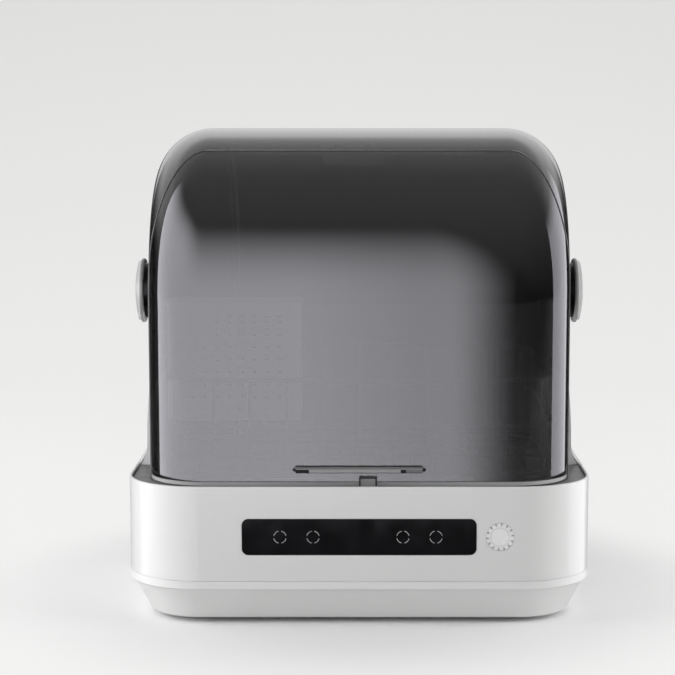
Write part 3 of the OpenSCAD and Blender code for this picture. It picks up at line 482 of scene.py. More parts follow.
@dataclass(frozen=True)
class SmokedPane:
    """Smoked acrylic that lets lamps through to what it covers.

    It grows darker where it is seen at a slant, and may have a pale opaque border that reaches
    up to a given height: painted light over the shade of the rim's channel below the window.
    """

    name: str
    tint: Colour
    rough: float = 0.02
    wave: float = 0.02
    wave_depth: float = 0.002
    smear: tuple[float, float] = (0.6, 1.5)
    mottle: float = 0.03
    cloud: Pattern = Pattern(7.0)
    smudge: Pattern = Pattern(30.0, 5.0)
    ripple: Pattern = Pattern(11.0, 2.0)
    ior: float = 1.56
    coat_rough: float = 0.02
    coat_ior: float = 1.6
    slant_blend: float = 0.5
    slant: float = 0.36
    slant_end: float = 0.61
    slant_share: float = 0.98
    slant_tone: Colour = (0.01, 0.01, 0.01)
    # Below this height the pane is opaque and pale: painted light over the rim's shade.
    painted_light_below: float | None = None
    painted_light_edge: float = 0.0003
    painted_light_tone: Colour = (0.62, 0.62, 0.63)

    def body(self, g: Graph) -> Socket:
        """The tint, darker at a slant.

        Args:
            g: The graph.

        Returns:
            The colour socket.
        """
        weight = g.node("LayerWeight")
        g.feed(self.slant_blend, weight.inputs["Blend"])
        facing = weight.outputs["Facing"]
        deep = g.remap(facing, self.slant, self.slant_end, 0.0, self.slant_share, smooth=True)
        tint = g.mottle(g.noise(self.cloud), self.tint, self.mottle)
        return g.mix(deep, tint, self.slant_tone)

    def build(self) -> bpy.types.Material:
        """Builds the pane.

        Returns:
            The material.
        """
        g = material_graph(self.name)
        body = self.body(g)
        clearness: Socket | float = 1.0
        # Below that height the pane turns opaque and pale: painted light over the shade of the
        # rim's channel.
        if self.painted_light_below is not None:
            low, high = self.painted_light_below - self.painted_light_edge, self.painted_light_below + self.painted_light_edge
            clearness = g.remap(g.split(g.place())["Z"], low, high)
            body = g.mix(g.calc("SUBTRACT", 1.0, clearness), body, self.painted_light_tone)
        acrylic = g.principled(
            body,
            g.spread(g.noise(self.smudge), *(self.rough * share for share in self.smear)),
            g.bump(g.noise(self.ripple), self.wave, self.wave_depth),
            IOR=self.ior,
            Transmission_Weight=clearness,
            Coat_Weight=1.0,
            Coat_Roughness=self.coat_rough,
            Coat_IOR=self.coat_ior,
        )
        clear = g.node("BsdfTransparent")
        g.feed(self.tint, clear.inputs["Color"])
        path = g.node("LightPath").outputs
        lamp = g.calc("MAXIMUM", path["Is Shadow Ray"], path["Is Diffuse Ray"])
        return g.surface(g.blend(lamp, acrylic, clear))


@dataclass(frozen=True)
class Tone:
    """How one area of a moulding looks. On the riser such areas are painted highlight and painted
    reflection.
    """

    colour: Colour
    rough: float = 0.3


@dataclass(frozen=True)
class ToneBox:
    """A box in the shared frame, in metres, inside which a moulding has its own tone."""

    low: Point
    high: Point
    tone: Tone

    def share(self, g: Graph, parts: bpy.types.NodeOutputs, edge: float) -> Socket:
        """A factor that is 1 inside the box and 0 outside.

        Args:
            g: The graph.
            parts: The X, Y and Z outputs of the place.
            edge: Half the width of the soft edge.

        Returns:
            The factor.
        """
        steps = [
            g.remap(parts[axis], limit - turn * edge, limit + turn * edge)
            for axis, low, high in zip("XYZ", self.low, self.high)
            for limit, turn in ((low, 1.0), (high, -1.0))
        ]
        found = steps[0]
        for step in steps[1:]:
            found = g.calc("MULTIPLY", found, step)
        return found


@dataclass(frozen=True)
class BoxTonedMoulding:
    """A moulding whose tone changes inside boxes."""

    name: str
    ground: Tone
    tone_boxes: tuple[ToneBox, ...]
    edge: float = 0.00012
    ior: float = 1.25
    mottle: float = 0.03
    spread: float = 0.15
    cloud: Pattern = Pattern(60.0, 5.0)
    grain: Pattern = Pattern(900.0, 2.0)
    relief: float = 0.03
    depth: float = 0.0002

    def build(self) -> bpy.types.Material:
        """Builds the moulding.

        Returns:
            The material.
        """
        g = material_graph(self.name)
        parts = g.split(g.place())
        cloud = g.noise(self.cloud)
        colour = g.mottle(cloud, self.ground.colour, self.mottle)
        spread = self.ground.rough * self.spread
        rough = g.spread(cloud, self.ground.rough - spread, self.ground.rough + spread)
        for tone_box in self.tone_boxes:
            inside = tone_box.share(g, parts, self.edge)
            colour = g.mix(inside, colour, tone_box.tone.colour)
            rough = g.mix(inside, rough, tone_box.tone.rough)
        normal = g.bump(g.noise(self.grain), self.relief, self.depth)
        return g.surface(g.principled(colour, rough, normal, IOR=self.ior))


@dataclass(frozen=True)
class DarkGlass:
    """Black back-painted glass."""

    name: str
    colour: Colour = (0.006, 0.006, 0.007)
    mottle: float = 0.2
    rough: float = 0.06
    wave: float = 0.02
    wave_depth: float = 0.001
    smear: tuple[float, float] = (0.7, 1.6)
    cloud: Pattern = Pattern(25.0)
    smudge: Pattern = Pattern(45.0, 6.0)
    ripple: Pattern = Pattern(14.0, 2.0)
    ior: float = 1.45
    coat: float = 0.2
    coat_rough: float = 0.03

    def build(self) -> bpy.types.Material:
        """Builds the glass.

        Returns:
            The material.
        """
        g = material_graph(self.name)
        glass = g.principled(
            g.mottle(g.noise(self.cloud), self.colour, self.mottle),
            g.spread(g.noise(self.smudge), *(self.rough * share for share in self.smear)),
            g.bump(g.noise(self.ripple), self.wave, self.wave_depth),
            IOR=self.ior,
            Coat_Weight=self.coat,
            Coat_Roughness=self.coat_rough,
        )
        return g.surface(glass)


@dataclass(frozen=True)
class Laminate:
    """Green circuit board with copper tracks under the mask."""

    name: str
    colour: Colour = (0.015, 0.11, 0.045)
    pale: float = 1.35
    track: Colour = (0.10, 0.24, 0.08)
    track_share: float = 0.05
    pitch: float = 160.0
    rough: tuple[float, float] = (0.25, 0.45)
    smudge: Pattern = Pattern(120.0, 4.0)
    relief: float = 0.3
    depth: float = 0.0001

    def build(self) -> bpy.types.Material:
        """Builds the laminate.

        Returns:
            The material.
        """
        g = material_graph(self.name)
        tracks = g.node("TexBrick")
        for name, value in (
            ("Scale", self.pitch),
            ("Color1", self.colour),
            ("Color2", shade(self.colour, self.pale)),
            ("Mortar", self.track),
            ("Mortar Size", self.track_share),
            ("Vector", g.place()),
        ):
            g.feed(value, tracks.inputs[name])
        board = g.principled(
            tracks.outputs["Color"],
            g.spread(g.noise(self.smudge), *self.rough),
            g.bump(tracks.outputs["Fac"], self.relief, self.depth),
        )
        return g.surface(board)


@dataclass(frozen=True)
class Perforated:
    """Steel sheet with rows of etched holes, drawn as pits of painted shade."""

    name: str
    colour: Colour = (0.6, 0.6, 0.59)
    pit_shade: Colour = (0.03, 0.03, 0.03)
    pitch: float = 420.0
    hole: tuple[float, float] = (0.28, 0.36)
    rough: tuple[float, float] = (0.25, 0.45)
    smudge: Pattern = Pattern(200.0, 4.0)
    relief: float = 0.5
    depth: float = 0.0004

    def build(self) -> bpy.types.Material:
        """Builds the sheet.

        Returns:
            The material.
        """
        g = material_graph(self.name)
        cells = g.node("TexVoronoi")
        g.feed(self.pitch, cells.inputs["Scale"])
        g.feed(0.0, cells.inputs["Randomness"])
        g.feed(g.place(), cells.inputs["Vector"])
        sheet = g.remap(cells.outputs["Distance"], *self.hole)
        # The holes take the pit colour: painted shade in place of their depth.
        steel = g.principled(
            g.ramp(sheet, self.pit_shade, self.colour),
            g.spread(g.noise(self.smudge), *self.rough),
            g.bump(sheet, self.relief, self.depth),
            Metallic=1.0,
        )
        return g.surface(steel)


@dataclass(frozen=True)
class Medallion:
    """Pearl-white moulded disc with a notched rim and a faint pressed ring, about +Y.

    The notches and the ring are steps between two shares of the radius.
    """

    name: str
    centre: tuple[float, float]
    radius: float
    flutes: float = 14.0
    colour: Colour = (0.95, 0.95, 0.945)
    shadow: Colour = (0.42, 0.42, 0.415)
    rim: tuple[float, float] = (0.76, 0.84)
    notch: tuple[float, float] = (0.45, 0.8)
    ring_in: tuple[float, float] = (0.60, 0.63)
    ring_out: tuple[float, float] = (0.66, 0.69)
    ring_share: float = 0.3
    rough: tuple[float, float] = (0.2, 0.32)
    smudge: Pattern = Pattern(300.0, 4.0)
    relief: float = 0.6
    depth: float = 0.0006
    coat_rough: float = 0.25

    def step(self, g: Graph, reach: Socket, shares: tuple[float, float]) -> Socket:
        """A step from 0 to 1 between two shares of the radius.

        Args:
            g: The graph.
            reach: The distance from the centre.
            shares: Where the step starts and ends.

        Returns:
            The step's socket.
        """
        return g.remap(reach, shares[0] * self.radius, shares[1] * self.radius)

    def pressed(self, g: Graph) -> Socket:
        """Where the disc is pressed in.

        Args:
            g: The graph.

        Returns:
            A factor of 0 to 1.
        """
        parts = g.split(g.place())
        across = g.calc("SUBTRACT", parts["X"], self.centre[0])
        up = g.calc("SUBTRACT", parts["Z"], self.centre[1])
        reach = g.reach(across, up)
        turns = g.calc("MULTIPLY", g.calc("ARCTAN2", up, across), self.flutes)
        notches = g.remap(g.calc("SINE", turns), *self.notch)
        fluted = g.calc("MULTIPLY", notches, self.step(g, reach, self.rim))
        ring = g.calc(
            "SUBTRACT", self.step(g, reach, self.ring_in), self.step(g, reach, self.ring_out)
        )
        return g.calc("MAXIMUM", fluted, g.calc("MULTIPLY", ring, self.ring_share))

    def build(self) -> bpy.types.Material:
        """Builds the disc's finish.

        Returns:
            The material.
        """
        g = material_graph(self.name)
        pressed = self.pressed(g)
        disc = g.principled(
            g.ramp(pressed, self.colour, self.shadow),
            g.spread(g.noise(self.smudge), *self.rough),
            g.bump(g.calc("SUBTRACT", 1.0, pressed), self.relief, self.depth),
            Coat_Weight=1.0,
            Coat_Roughness=self.coat_rough,
        )
        return g.surface(disc)


GLOSS_SHELL = {
    "spread": 0.01,
    "grain": Pattern(260.0, 2.0),
    "relief": 0.02,
    "mottle": 0.004,
    "coat": 0.25,
}
WHITE_SHELL = Moulded("white_shell_plastic", (0.79, 0.79, 0.785), 0.30, **GLOSS_SHELL)
WHITE_ARM = Moulded("white_arm_plastic", (0.80, 0.80, 0.80), 0.30, **GLOSS_SHELL)
# The pan is white plastic, made a little paler than the housing: painted light that offsets the
# shade it faces down into.
PAN_WHITE_WITH_PAINTED_LIGHT = Moulded(
    "white_pan_plastic_with_painted_light", (0.82, 0.82, 0.815), 0.38, 0.04, relief=0.08, mottle=0.006
)
WHITE_PANEL = Moulded("white_service_plastic", (0.68, 0.68, 0.67), 0.45, relief=0.25)
WHITE_CAP = Moulded(
    "white_cap_plastic", (0.92, 0.92, 0.92), 0.22, 0.04, relief=0.04, mottle=0.01, coat=0.4
)
# The pivot flanges belong to the white pivot knobs; their grey is painted shade on the knobs'
# inner rings.
FLANGE_PAINTED_SHADE = Moulded("flange_painted_shade_grey", (0.36, 0.36, 0.355), 0.28, 0.05, relief=0.05)
BLACK_GLOSS = Moulded(
    "black_collar_plastic", (0.006, 0.006, 0.006), 0.2, 0.04, relief=0.04, ior=1.28
)
BLACK_SATIN = Moulded("black_satin_plastic", (0.02, 0.02, 0.021), 0.42, relief=0.25)
TUB_GREY = Moulded("grey_tub_plastic", (0.17, 0.17, 0.173), 0.38)
SHELL_DARK = Moulded(
    "dark_rear_shell_plastic", (0.03, 0.03, 0.032), 0.34, 0.05, relief=0.05, ior=1.4
)
SOFT_SEAL = Moulded("grey_seal_rubber", (0.07, 0.07, 0.07), 0.65, relief=0.3)
BLACK_RUBBER = Moulded("black_foot_rubber", (0.025, 0.025, 0.025), 0.75, relief=0.4)
GREY_HOSE = Moulded("grey_hose_rubber", (0.12, 0.12, 0.12), 0.6, relief=0.3)
NATURAL = Moulded("natural_pump_plastic", (0.62, 0.60, 0.54), 0.42, relief=0.15)
GREY_PART = Moulded("grey_inner_plastic", (0.24, 0.24, 0.24), 0.45, relief=0.2)
WIRE_COAT = Moulded(
    "grey_wire_coating", (0.10, 0.10, 0.102), 0.5, 0.05, Pattern(700.0, 2.0), 0.1, ior=1.2
)
BASKET_WHITE = Moulded("white_basket_plastic", (0.82, 0.82, 0.82), 0.36)
BEAD_GREY = Moulded("clear_edge_bead", (0.20, 0.20, 0.205), 0.25, 0.05, relief=0.02, coat=0.6)
MARK_WHITE = Moulded("pale_touch_print", (0.5, 0.5, 0.5), 0.5, relief=0.05)
STEEL = Metal("brushed_steel")
PIN_STEEL = Metal("turned_pin_steel", (0.6, 0.6, 0.6), 0.22, Pattern(900.0))
HEATER_STEEL = Metal(
    "heat_marked_steel", (0.42, 0.40, 0.37), 0.38, Pattern(300.0), (0.40, 0.33, 0.24)
)
PIN_BRASS = Metal("nickel_contact_metal", (0.68, 0.64, 0.55), 0.25, Pattern(900.0, along=Axis.Y))
FILTER_SHEET = Perforated("etched_filter_steel")
BOARD = Laminate("green_circuit_laminate")
PANEL_GLASS = DarkGlass("black_control_glass")
BADGE_PEARL = Medallion("pearl_badge", (0.131, 0.0866), 0.013)
# The window's pale bottom band is painted light over the shade of the rim's channel.
WINDOW_SMOKE = SmokedPane("smoked_window_acrylic", (0.31, 0.31, 0.32), painted_light_below=0.1358)
FRAME_SMOKE = SmokedPane("smoked_frame_acrylic", (0.42, 0.42, 0.425), 0.05)
LAMP_QUARTZ = SmokedPane("lamp_quartz", (0.90, 0.88, 0.96), 0.03, 0.01)
# The riser's pale tone is painted highlight, and the dark strip down its middle is painted
# reflection that splits it into a pair of highlight lines.
RISER_PAINTED_HIGHLIGHTS = BoxTonedMoulding(
    "riser_painted_highlight_pair",
    Tone((0.88, 0.88, 0.88), 0.25),
    (ToneBox((-0.1334, -0.2, 0.0), (-0.1306, 0.2, 0.5), Tone((0.05, 0.05, 0.05))),),
)
LIP_TRIM = BoxTonedMoulding(
    "black_lip_with_pale_inlay",
    Tone((0.008, 0.008, 0.008), 0.45),
    (
        ToneBox((-0.065, -0.18, 0.1490), (0.062, -0.10, 0.1510), Tone((0.27, 0.27, 0.275), 0.5)),
        ToneBox((-0.0465, -0.18, 0.1463), (0.0385, -0.1690, 0.1489), Tone((0.36, 0.36, 0.36))),
        ToneBox((0.0435, -0.18, 0.1463), (0.0600, -0.1690, 0.1489), Tone((0.17, 0.17, 0.175))),
    ),
)
TAB_TRIM = BoxTonedMoulding(
    "smoked_tab_with_pale_pocket",
    Tone((0.05, 0.05, 0.052), 0.4),
    (ToneBox((-0.02, -0.1626, 0.120), (0.03, -0.10, 0.1455), Tone((0.45, 0.45, 0.45))),),
)


class Dresser:
    """Gives CAD nodes and new pieces their finishes, building each finish once."""

    def __init__(self, frame: dict) -> None:
        """Keeps the frame's nodes."""
        self.nodes = frame["nodes"]
        self.built: dict[str, bpy.types.Material] = {}

    def material(self, finish: Finish) -> bpy.types.Material:
        """Builds a finish at its first use.

        Args:
            finish: The finish.

        Returns:
            Its material.
        """
        if finish.name not in self.built:
            self.built[finish.name] = finish.build()
        return self.built[finish.name]

    def dress(self, finish: Finish, *names: str) -> None:
        """Gives CAD nodes a finish.

        Args:
            finish: The finish.
            names: The nodes.
        """
        for name in names:
            data = self.nodes[name].data
            data.materials.clear()
            data.materials.append(self.material(finish))
            LOG.info("dressed %s in %s", name, finish.name)

    def new_piece(
        self, name: str, mesh: bpy.types.Mesh, body: Body, finish: Finish
    ) -> bpy.types.Object:
        """Makes an object from a mesh in place.

        Args:
            name: Name of the piece.
            mesh: Its mesh, in metres, in the shared frame.
            body: The body that it moves with.
            finish: Its finish.

        Returns:
            The object.
        """
        made = placed(name, mesh)
        mesh.materials.append(self.material(finish))
        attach(made, body.value)
        LOG.info("made %s on %s", name, body.value)
        return made


def placed(name: str, data: bpy.types.ID | None) -> bpy.types.Object:
    """Makes an object at the origin and links it to the scene.

    Args:
        name: Its name.
        data: Its mesh, lamp or camera.

    Returns:
        The object.
    """
    made = bpy.data.objects.new(name, data)
    bpy.context.scene.collection.objects.link(made)
    return made


def finished(work: bmesh.types.BMesh, name: str) -> bpy.types.Mesh:
    """Turns a working mesh into a mesh and frees it.

    Args:
        work: The working mesh.
        name: Name of the mesh.

    Returns:
        The mesh.
    """
    mesh = bpy.data.meshes.new(name)
    work.to_mesh(mesh)
    work.free()
    return mesh


def aimed(made: bpy.types.Object, place: Point, target: Point) -> None:
    """Puts a lamp or camera in place and turns it to a target.

    Args:
        made: The lamp or camera.
        place: Where it stands.
        target: What it looks at.
    """
    way = Vector(target) - Vector(place)
    made.location = place
    made.rotation_euler = way.to_track_quat("-Z", "Y").to_euler()


# ---------------------------------------------------------------- sub-assemblies


class Assembly:
    """A sub-assembly that gives its CAD nodes their finishes."""

    coats: ClassVar[tuple[tuple[Finish, tuple[str, ...]], ...]] = ()

    def build(self, dresser: Dresser) -> None:
        """Dresses the nodes.

        Args:
            dresser: Gives the finishes.
        """
        for finish, names in self.coats:
            dresser.dress(finish, *names)


class Base(Assembly):
    """Housing, pan, tub, side arms, pivots and rear shell."""

    coats = (
        (WHITE_SHELL, ("outer_housing",)),
        (PAN_WHITE_WITH_PAINTED_LIGHT, ("base_pan",)),
        (WHITE_PANEL, ("service_panel",)),
        (TUB_GREY, ("wash_tub", "tub_deck")),
        (SOFT_SEAL, ("deck_seal", "shell_seal")),
        (WHITE_ARM, ("side_arm_left", "side_arm_right")),
        (PIN_STEEL, ("pivot_pins", "panel_screws")),
        (NATURAL, ("hinge_washers", "spray_hub")),
        (BLACK_GLOSS, ("pivot_collar_left", "pivot_collar_right")),
        (FLANGE_PAINTED_SHADE, ("pivot_flange_left", "pivot_flange_right")),
        (WHITE_CAP, ("pivot_cap_left", "pivot_cap_right")),
        (BADGE_PEARL, ("badge_disc",)),
        (SHELL_DARK, ("rear_shell",)),
        (BLACK_RUBBER, ("rubber_feet",)),
        (BLACK_SATIN, ("latch_keeper",)),
    )


class Works(Assembly):
    """Pumps, pipes, heater, fan, lamp and boards."""

    coats = (
        (GREY_PART, ("sump_cup", "uv_lamp_housing", "inlet_valve", "air_duct", "drain_port")),
        (FILTER_SHEET, ("sump_filter",)),
        (LAMP_QUARTZ, ("uv_lamp_tube",)),
        (RISER_PAINTED_HIGHLIGHTS, ("riser_pipe",)),
        (NATURAL, ("top_nozzle", "wash_rotor", "drain_rotor")),
        (HEATER_STEEL, ("heating_element",)),
        (BLACK_SATIN, ("wash_pump", "drain_pump", "power_inlet", "fan_frame", "fan_rotor")),
        (GREY_HOSE, ("suction_pipe", "feed_pipe", "drain_pipe")),
        (PIN_BRASS, ("power_pins",)),
        (BOARD, ("power_board", "display_board")),
        (STEEL, ("spray_arm",)),
    )


class Racks(Assembly):
    """Wire rack and cutlery basket."""

    coats = (
        (WIRE_COAT, ("rack_frame", "rack_ends", "rack_sides", "rack_floor", "rack_tines")),
        (BASKET_WHITE, ("cutlery_basket", "basket_walls")),
    )


@dataclass(frozen=True)
class Hood(Assembly):
    """The smoked hood that swings back over the rear shell.

    Its skin is an arch about the pivot with rounded long edges, and runs straight down below it.
    """

    coats = (
        (LIP_TRIM, ("handle_lip",)),
        (TAB_TRIM, ("latch_tab",)),
        (NATURAL, ("hub_bushes",)),
    )
    pivot_z: float = 0.301
    radius: float = 0.161
    half_width: float = 0.200
    edge_radius: float = 0.056
    soft: float = 24.0
    bead: float = 0.0004
    bead_sides: int = 6
    bead_above: float = 0.14
    bead_behind: float = -0.1525
    flush: float = 0.9
    step: float = 0.5

    def skin_normal(self, point: Vector) -> Vector:
        """The outward direction of the hood's skin nearest to a point.

        Args:
            point: A point on or near the skin.

        Returns:
            The unit vector out of the hood.
        """
        ahead, up = -point.y, point.z - self.pivot_z
        if up > 0:
            reach = math.hypot(ahead, up) or WELD
            way = Vector((0, -ahead / reach, up / reach))
        else:
            reach, way = ahead, Vector((0, -1, 0))
        side = abs(point.x) - (self.half_width - self.edge_radius)
        out = reach - (self.radius - self.edge_radius)
        across = Vector((math.copysign(1, point.x), 0, 0))
        if side <= 0:
            return way
        if out <= 0:
            return across
        return (way * out + across * side).normalized()

    def merged(self, source: bpy.types.Object) -> bmesh.types.BMesh:
        """A working copy of a CAD node's mesh, with its triangles joined.

        Args:
            source: The CAD node.

        Returns:
            The working mesh.
        """
        work = bmesh.new()
        work.from_mesh(source.data)
        bmesh.ops.remove_doubles(work, verts=work.verts, dist=WELD)
        return work

    def smooth_copy(self, source: bpy.types.Object, name: str) -> bpy.types.Mesh:
        """A copy of a hood solid whose shading follows the true curve.

        Args:
            source: The CAD node.
            name: Name of the new mesh.

        Returns:
            The mesh.
        """
        mesh = finished(self.merged(source), name)
        limit = math.cos(math.radians(self.soft))
        normals: list[Vector] = []
        for face in mesh.polygons:
            face.use_smooth = True
            for index in face.vertices:
                true = self.skin_normal(mesh.vertices[index].co)
                along = face.normal.dot(true)
                if abs(along) > limit:
                    normals.append(true if along > 0 else -true)
                else:
                    normals.append(face.normal.copy())
        mesh.normals_split_custom_set(normals)
        return mesh

    def on_rim(self, edge: bmesh.types.BMEdge, middle: Vector) -> bool:
        """Tells whether an edge of the window is where its front drops to the frame.

        Args:
            edge: The edge.
            middle: Its middle.

        Returns:
            True where one side lies in the skin and the other turns away from it.
        """
        if len(edge.link_faces) != 2:
            return False
        if middle.z < self.bead_above or middle.y < self.bead_behind:
            return False
        true = self.skin_normal(middle)
        low, high = sorted(face.normal.dot(true) for face in edge.link_faces)
        return high > self.flush and low < self.step

    def edge_bead(self, dresser: Dresser) -> None:
        """Builds the fine bright bead where the window drops below the frame.

        Args:
            dresser: Gives the finish.
        """
        work = self.merged(dresser.nodes["hood_window"])
        made = bmesh.new()
        for edge in work.edges:
            start, end = (vert.co for vert in edge.verts)
            middle = (start + end) / 2
            if self.on_rim(edge, middle):
                out = self.skin_normal(middle) * self.bead
                self.stick(made, start + out, end + out)
        work.free()
        mesh = finished(made, "window_edge_bead")
        dresser.new_piece("window_edge_bead", mesh, Body.HOOD, BEAD_GREY)

    def stick(self, work: bmesh.types.BMesh, start: Vector, end: Vector) -> None:
        """Adds one link of the bead.

        Args:
            work: The mesh to add to.
            start: Its first end.
            end: Its last end.
        """
        way = end - start
        if way.length < WELD:
            return
        turn = way.to_track_quat("Z", "Y").to_matrix().to_4x4()
        bmesh.ops.create_cone(
            work,
            cap_ends=True,
            segments=self.bead_sides,
            radius1=self.bead,
            radius2=self.bead,
            depth=way.length + self.bead,
            matrix=Matrix.Translation((start + end) / 2) @ turn,
        )

    def build(self, dresser: Dresser) -> None:
        """Builds the hood's pieces.

        Args:
            dresser: Gives the finishes.
        """
        for node, piece, finish in (
            ("hood_window", "smoked_window", WINDOW_SMOKE),
            ("hood_frame", "smoked_frame", FRAME_SMOKE),
        ):
            mesh = self.smooth_copy(dresser.nodes[node], piece)
            made = dresser.new_piece(piece, mesh, Body.HOOD, finish)
            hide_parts(node)
        self.edge_bead(dresser)
        super().build(dresser)


@dataclass(frozen=True)
class Controls(Assembly):
    """The black glass and its four printed touch rings."""

    coats = ((PANEL_GLASS, ("control_glass",)),)
    glass_z: float = 0.0866
    front_y: float = -0.175
    ring_x: tuple[float, ...] = (-0.0736, -0.0429, 0.0407, 0.0714)
    ring_r: float = 0.0060
    line: float = 0.0005
    film: float = 0.00008
    gap: float = 26.0
    arcs: int = 4
    steps: int = 12

    def ring(self, work: bmesh.types.BMesh, centre: Vector) -> None:
        """Adds one ring of arcs.

        Args:
            work: The mesh to add to.
            centre: Centre of the ring on the glass.
        """
        turn = 2 * math.pi / self.arcs
        sweep = turn - math.radians(self.gap)
        for index in range(self.arcs):
            start = (index + 0.5) * turn - sweep / 2
            way = Vector((math.cos(start), 0, math.sin(start)))
            ends = [
                work.verts.new(centre + way * reach)
                for reach in (self.ring_r - self.line, self.ring_r)
            ]
            edge = work.edges.new(ends)
            bmesh.ops.spin(
                work,
                geom=[*ends, edge],
                cent=centre,
                axis=(0, -1, 0),
                angle=sweep,
                steps=self.steps,
            )

    def marks(self) -> bpy.types.Mesh:
        """The print on the glass.

        Returns:
            The mesh of all rings.
        """
        work = bmesh.new()
        for x in self.ring_x:
            self.ring(work, Vector((x, self.front_y, self.glass_z)))
        bmesh.ops.remove_doubles(work, verts=work.verts, dist=WELD)
        bmesh.ops.recalc_face_normals(work, faces=work.faces)
        turned = [face for face in work.faces if face.normal.y > 0]
        if turned:
            bmesh.ops.reverse_faces(work, faces=turned)
        bmesh.ops.solidify(work, geom=work.faces[:], thickness=-self.film)
        return finished(work, "touch_marks")

    def build(self, dresser: Dresser) -> None:
        """Dresses the glass and builds its print.

        Args:
            dresser: Gives the finishes.
        """
        super().build(dresser)
        dresser.new_piece("touch_marks", self.marks(), Body.BASE, MARK_WHITE)


# ---------------------------------------------------------------- studio


@dataclass(frozen=True)
class Softbox:
    """One area lamp, which gloss and glass don't show."""

    name: str
    place: Point
    aim: Point
    size: tuple[float, float]
    watts: float

    def build(self) -> None:
        """Adds the lamp."""
        data = bpy.data.lights.new(self.name, "AREA")
        data.shape = "RECTANGLE"
        data.size, data.size_y = self.size
        data.energy = self.watts
        lamp = placed(self.name, data)
        aimed(lamp, self.place, self.aim)
        lamp.visible_camera = False
        lamp.visible_glossy = False
        lamp.visible_transmission = False


@dataclass(frozen=True)
class ReflectorCard:
    """A curved glowing card that only gloss mirrors, fading at its top and at its end.

    Angles run from the front towards the right, in degrees, and heights are in metres. Across
    the angles dim_over, its glow falls to the share dim. A glow of 0 makes a black flag.
    """

    name: str
    start: float
    end: float
    low: float
    high: float
    fade_height: float
    fade_angle: float
    glow: float = 2.6
    reach: float = 2.5
    dim: float = 1.0
    dim_over: tuple[float, float] = (-3.0, 3.0)
    tone: Colour = (1.0, 0.985, 1.05)
    facet: float = 2.5

    def shape(self) -> bpy.types.Mesh:
        """The card as an upright edge spun about the object.

        Returns:
            The mesh.
        """
        work = bmesh.new()
        turn = math.radians(self.start)
        foot = Vector((math.sin(turn), -math.cos(turn), 0)) * self.reach
        ends = [work.verts.new(foot + Vector((0, 0, z))) for z in (self.low, self.high)]
        edge = work.edges.new(ends)
        sweep = self.end - self.start
        bmesh.ops.spin(
            work,
            geom=[*ends, edge],
            cent=(0, 0, 0),
            axis=(0, 0, 1),
            angle=math.radians(sweep),
            steps=max(2, round(sweep / self.facet)),
        )
        return finished(work, self.name)

    def light(self) -> bpy.types.Material:
        """The card's glow.

        Returns:
            The material.
        """
        g = material_graph(self.name)
        parts = g.split(g.place())
        angle = g.calc("ARCTAN2", parts["X"], g.calc("MULTIPLY", parts["Y"], -1.0))
        over_top = g.remap(parts["Z"], self.fade_height, self.high)
        past_end = g.remap(angle, math.radians(self.fade_angle), math.radians(self.end))
        gone = g.remap(g.reach(over_top, past_end), 0.0, 1.0, smooth=True)
        first, last = (math.radians(limit) for limit in self.dim_over)
        glow = g.node("Emission")
        g.feed(self.tone, glow.inputs["Color"])
        g.feed(
            g.remap(angle, first, last, self.glow, self.glow * self.dim), glow.inputs["Strength"]
        )
        return g.surface(g.blend(gone, glow, g.node("BsdfTransparent")))

    def build(self) -> bpy.types.Object:
        """Builds the card.

        Returns:
            The object.
        """
        mesh = self.shape()
        mesh.materials.append(self.light())
        made = placed(self.name, mesh)
        made.visible_camera = False
        made.visible_diffuse = False
        made.visible_transmission = False
        made.visible_shadow = False
        return made


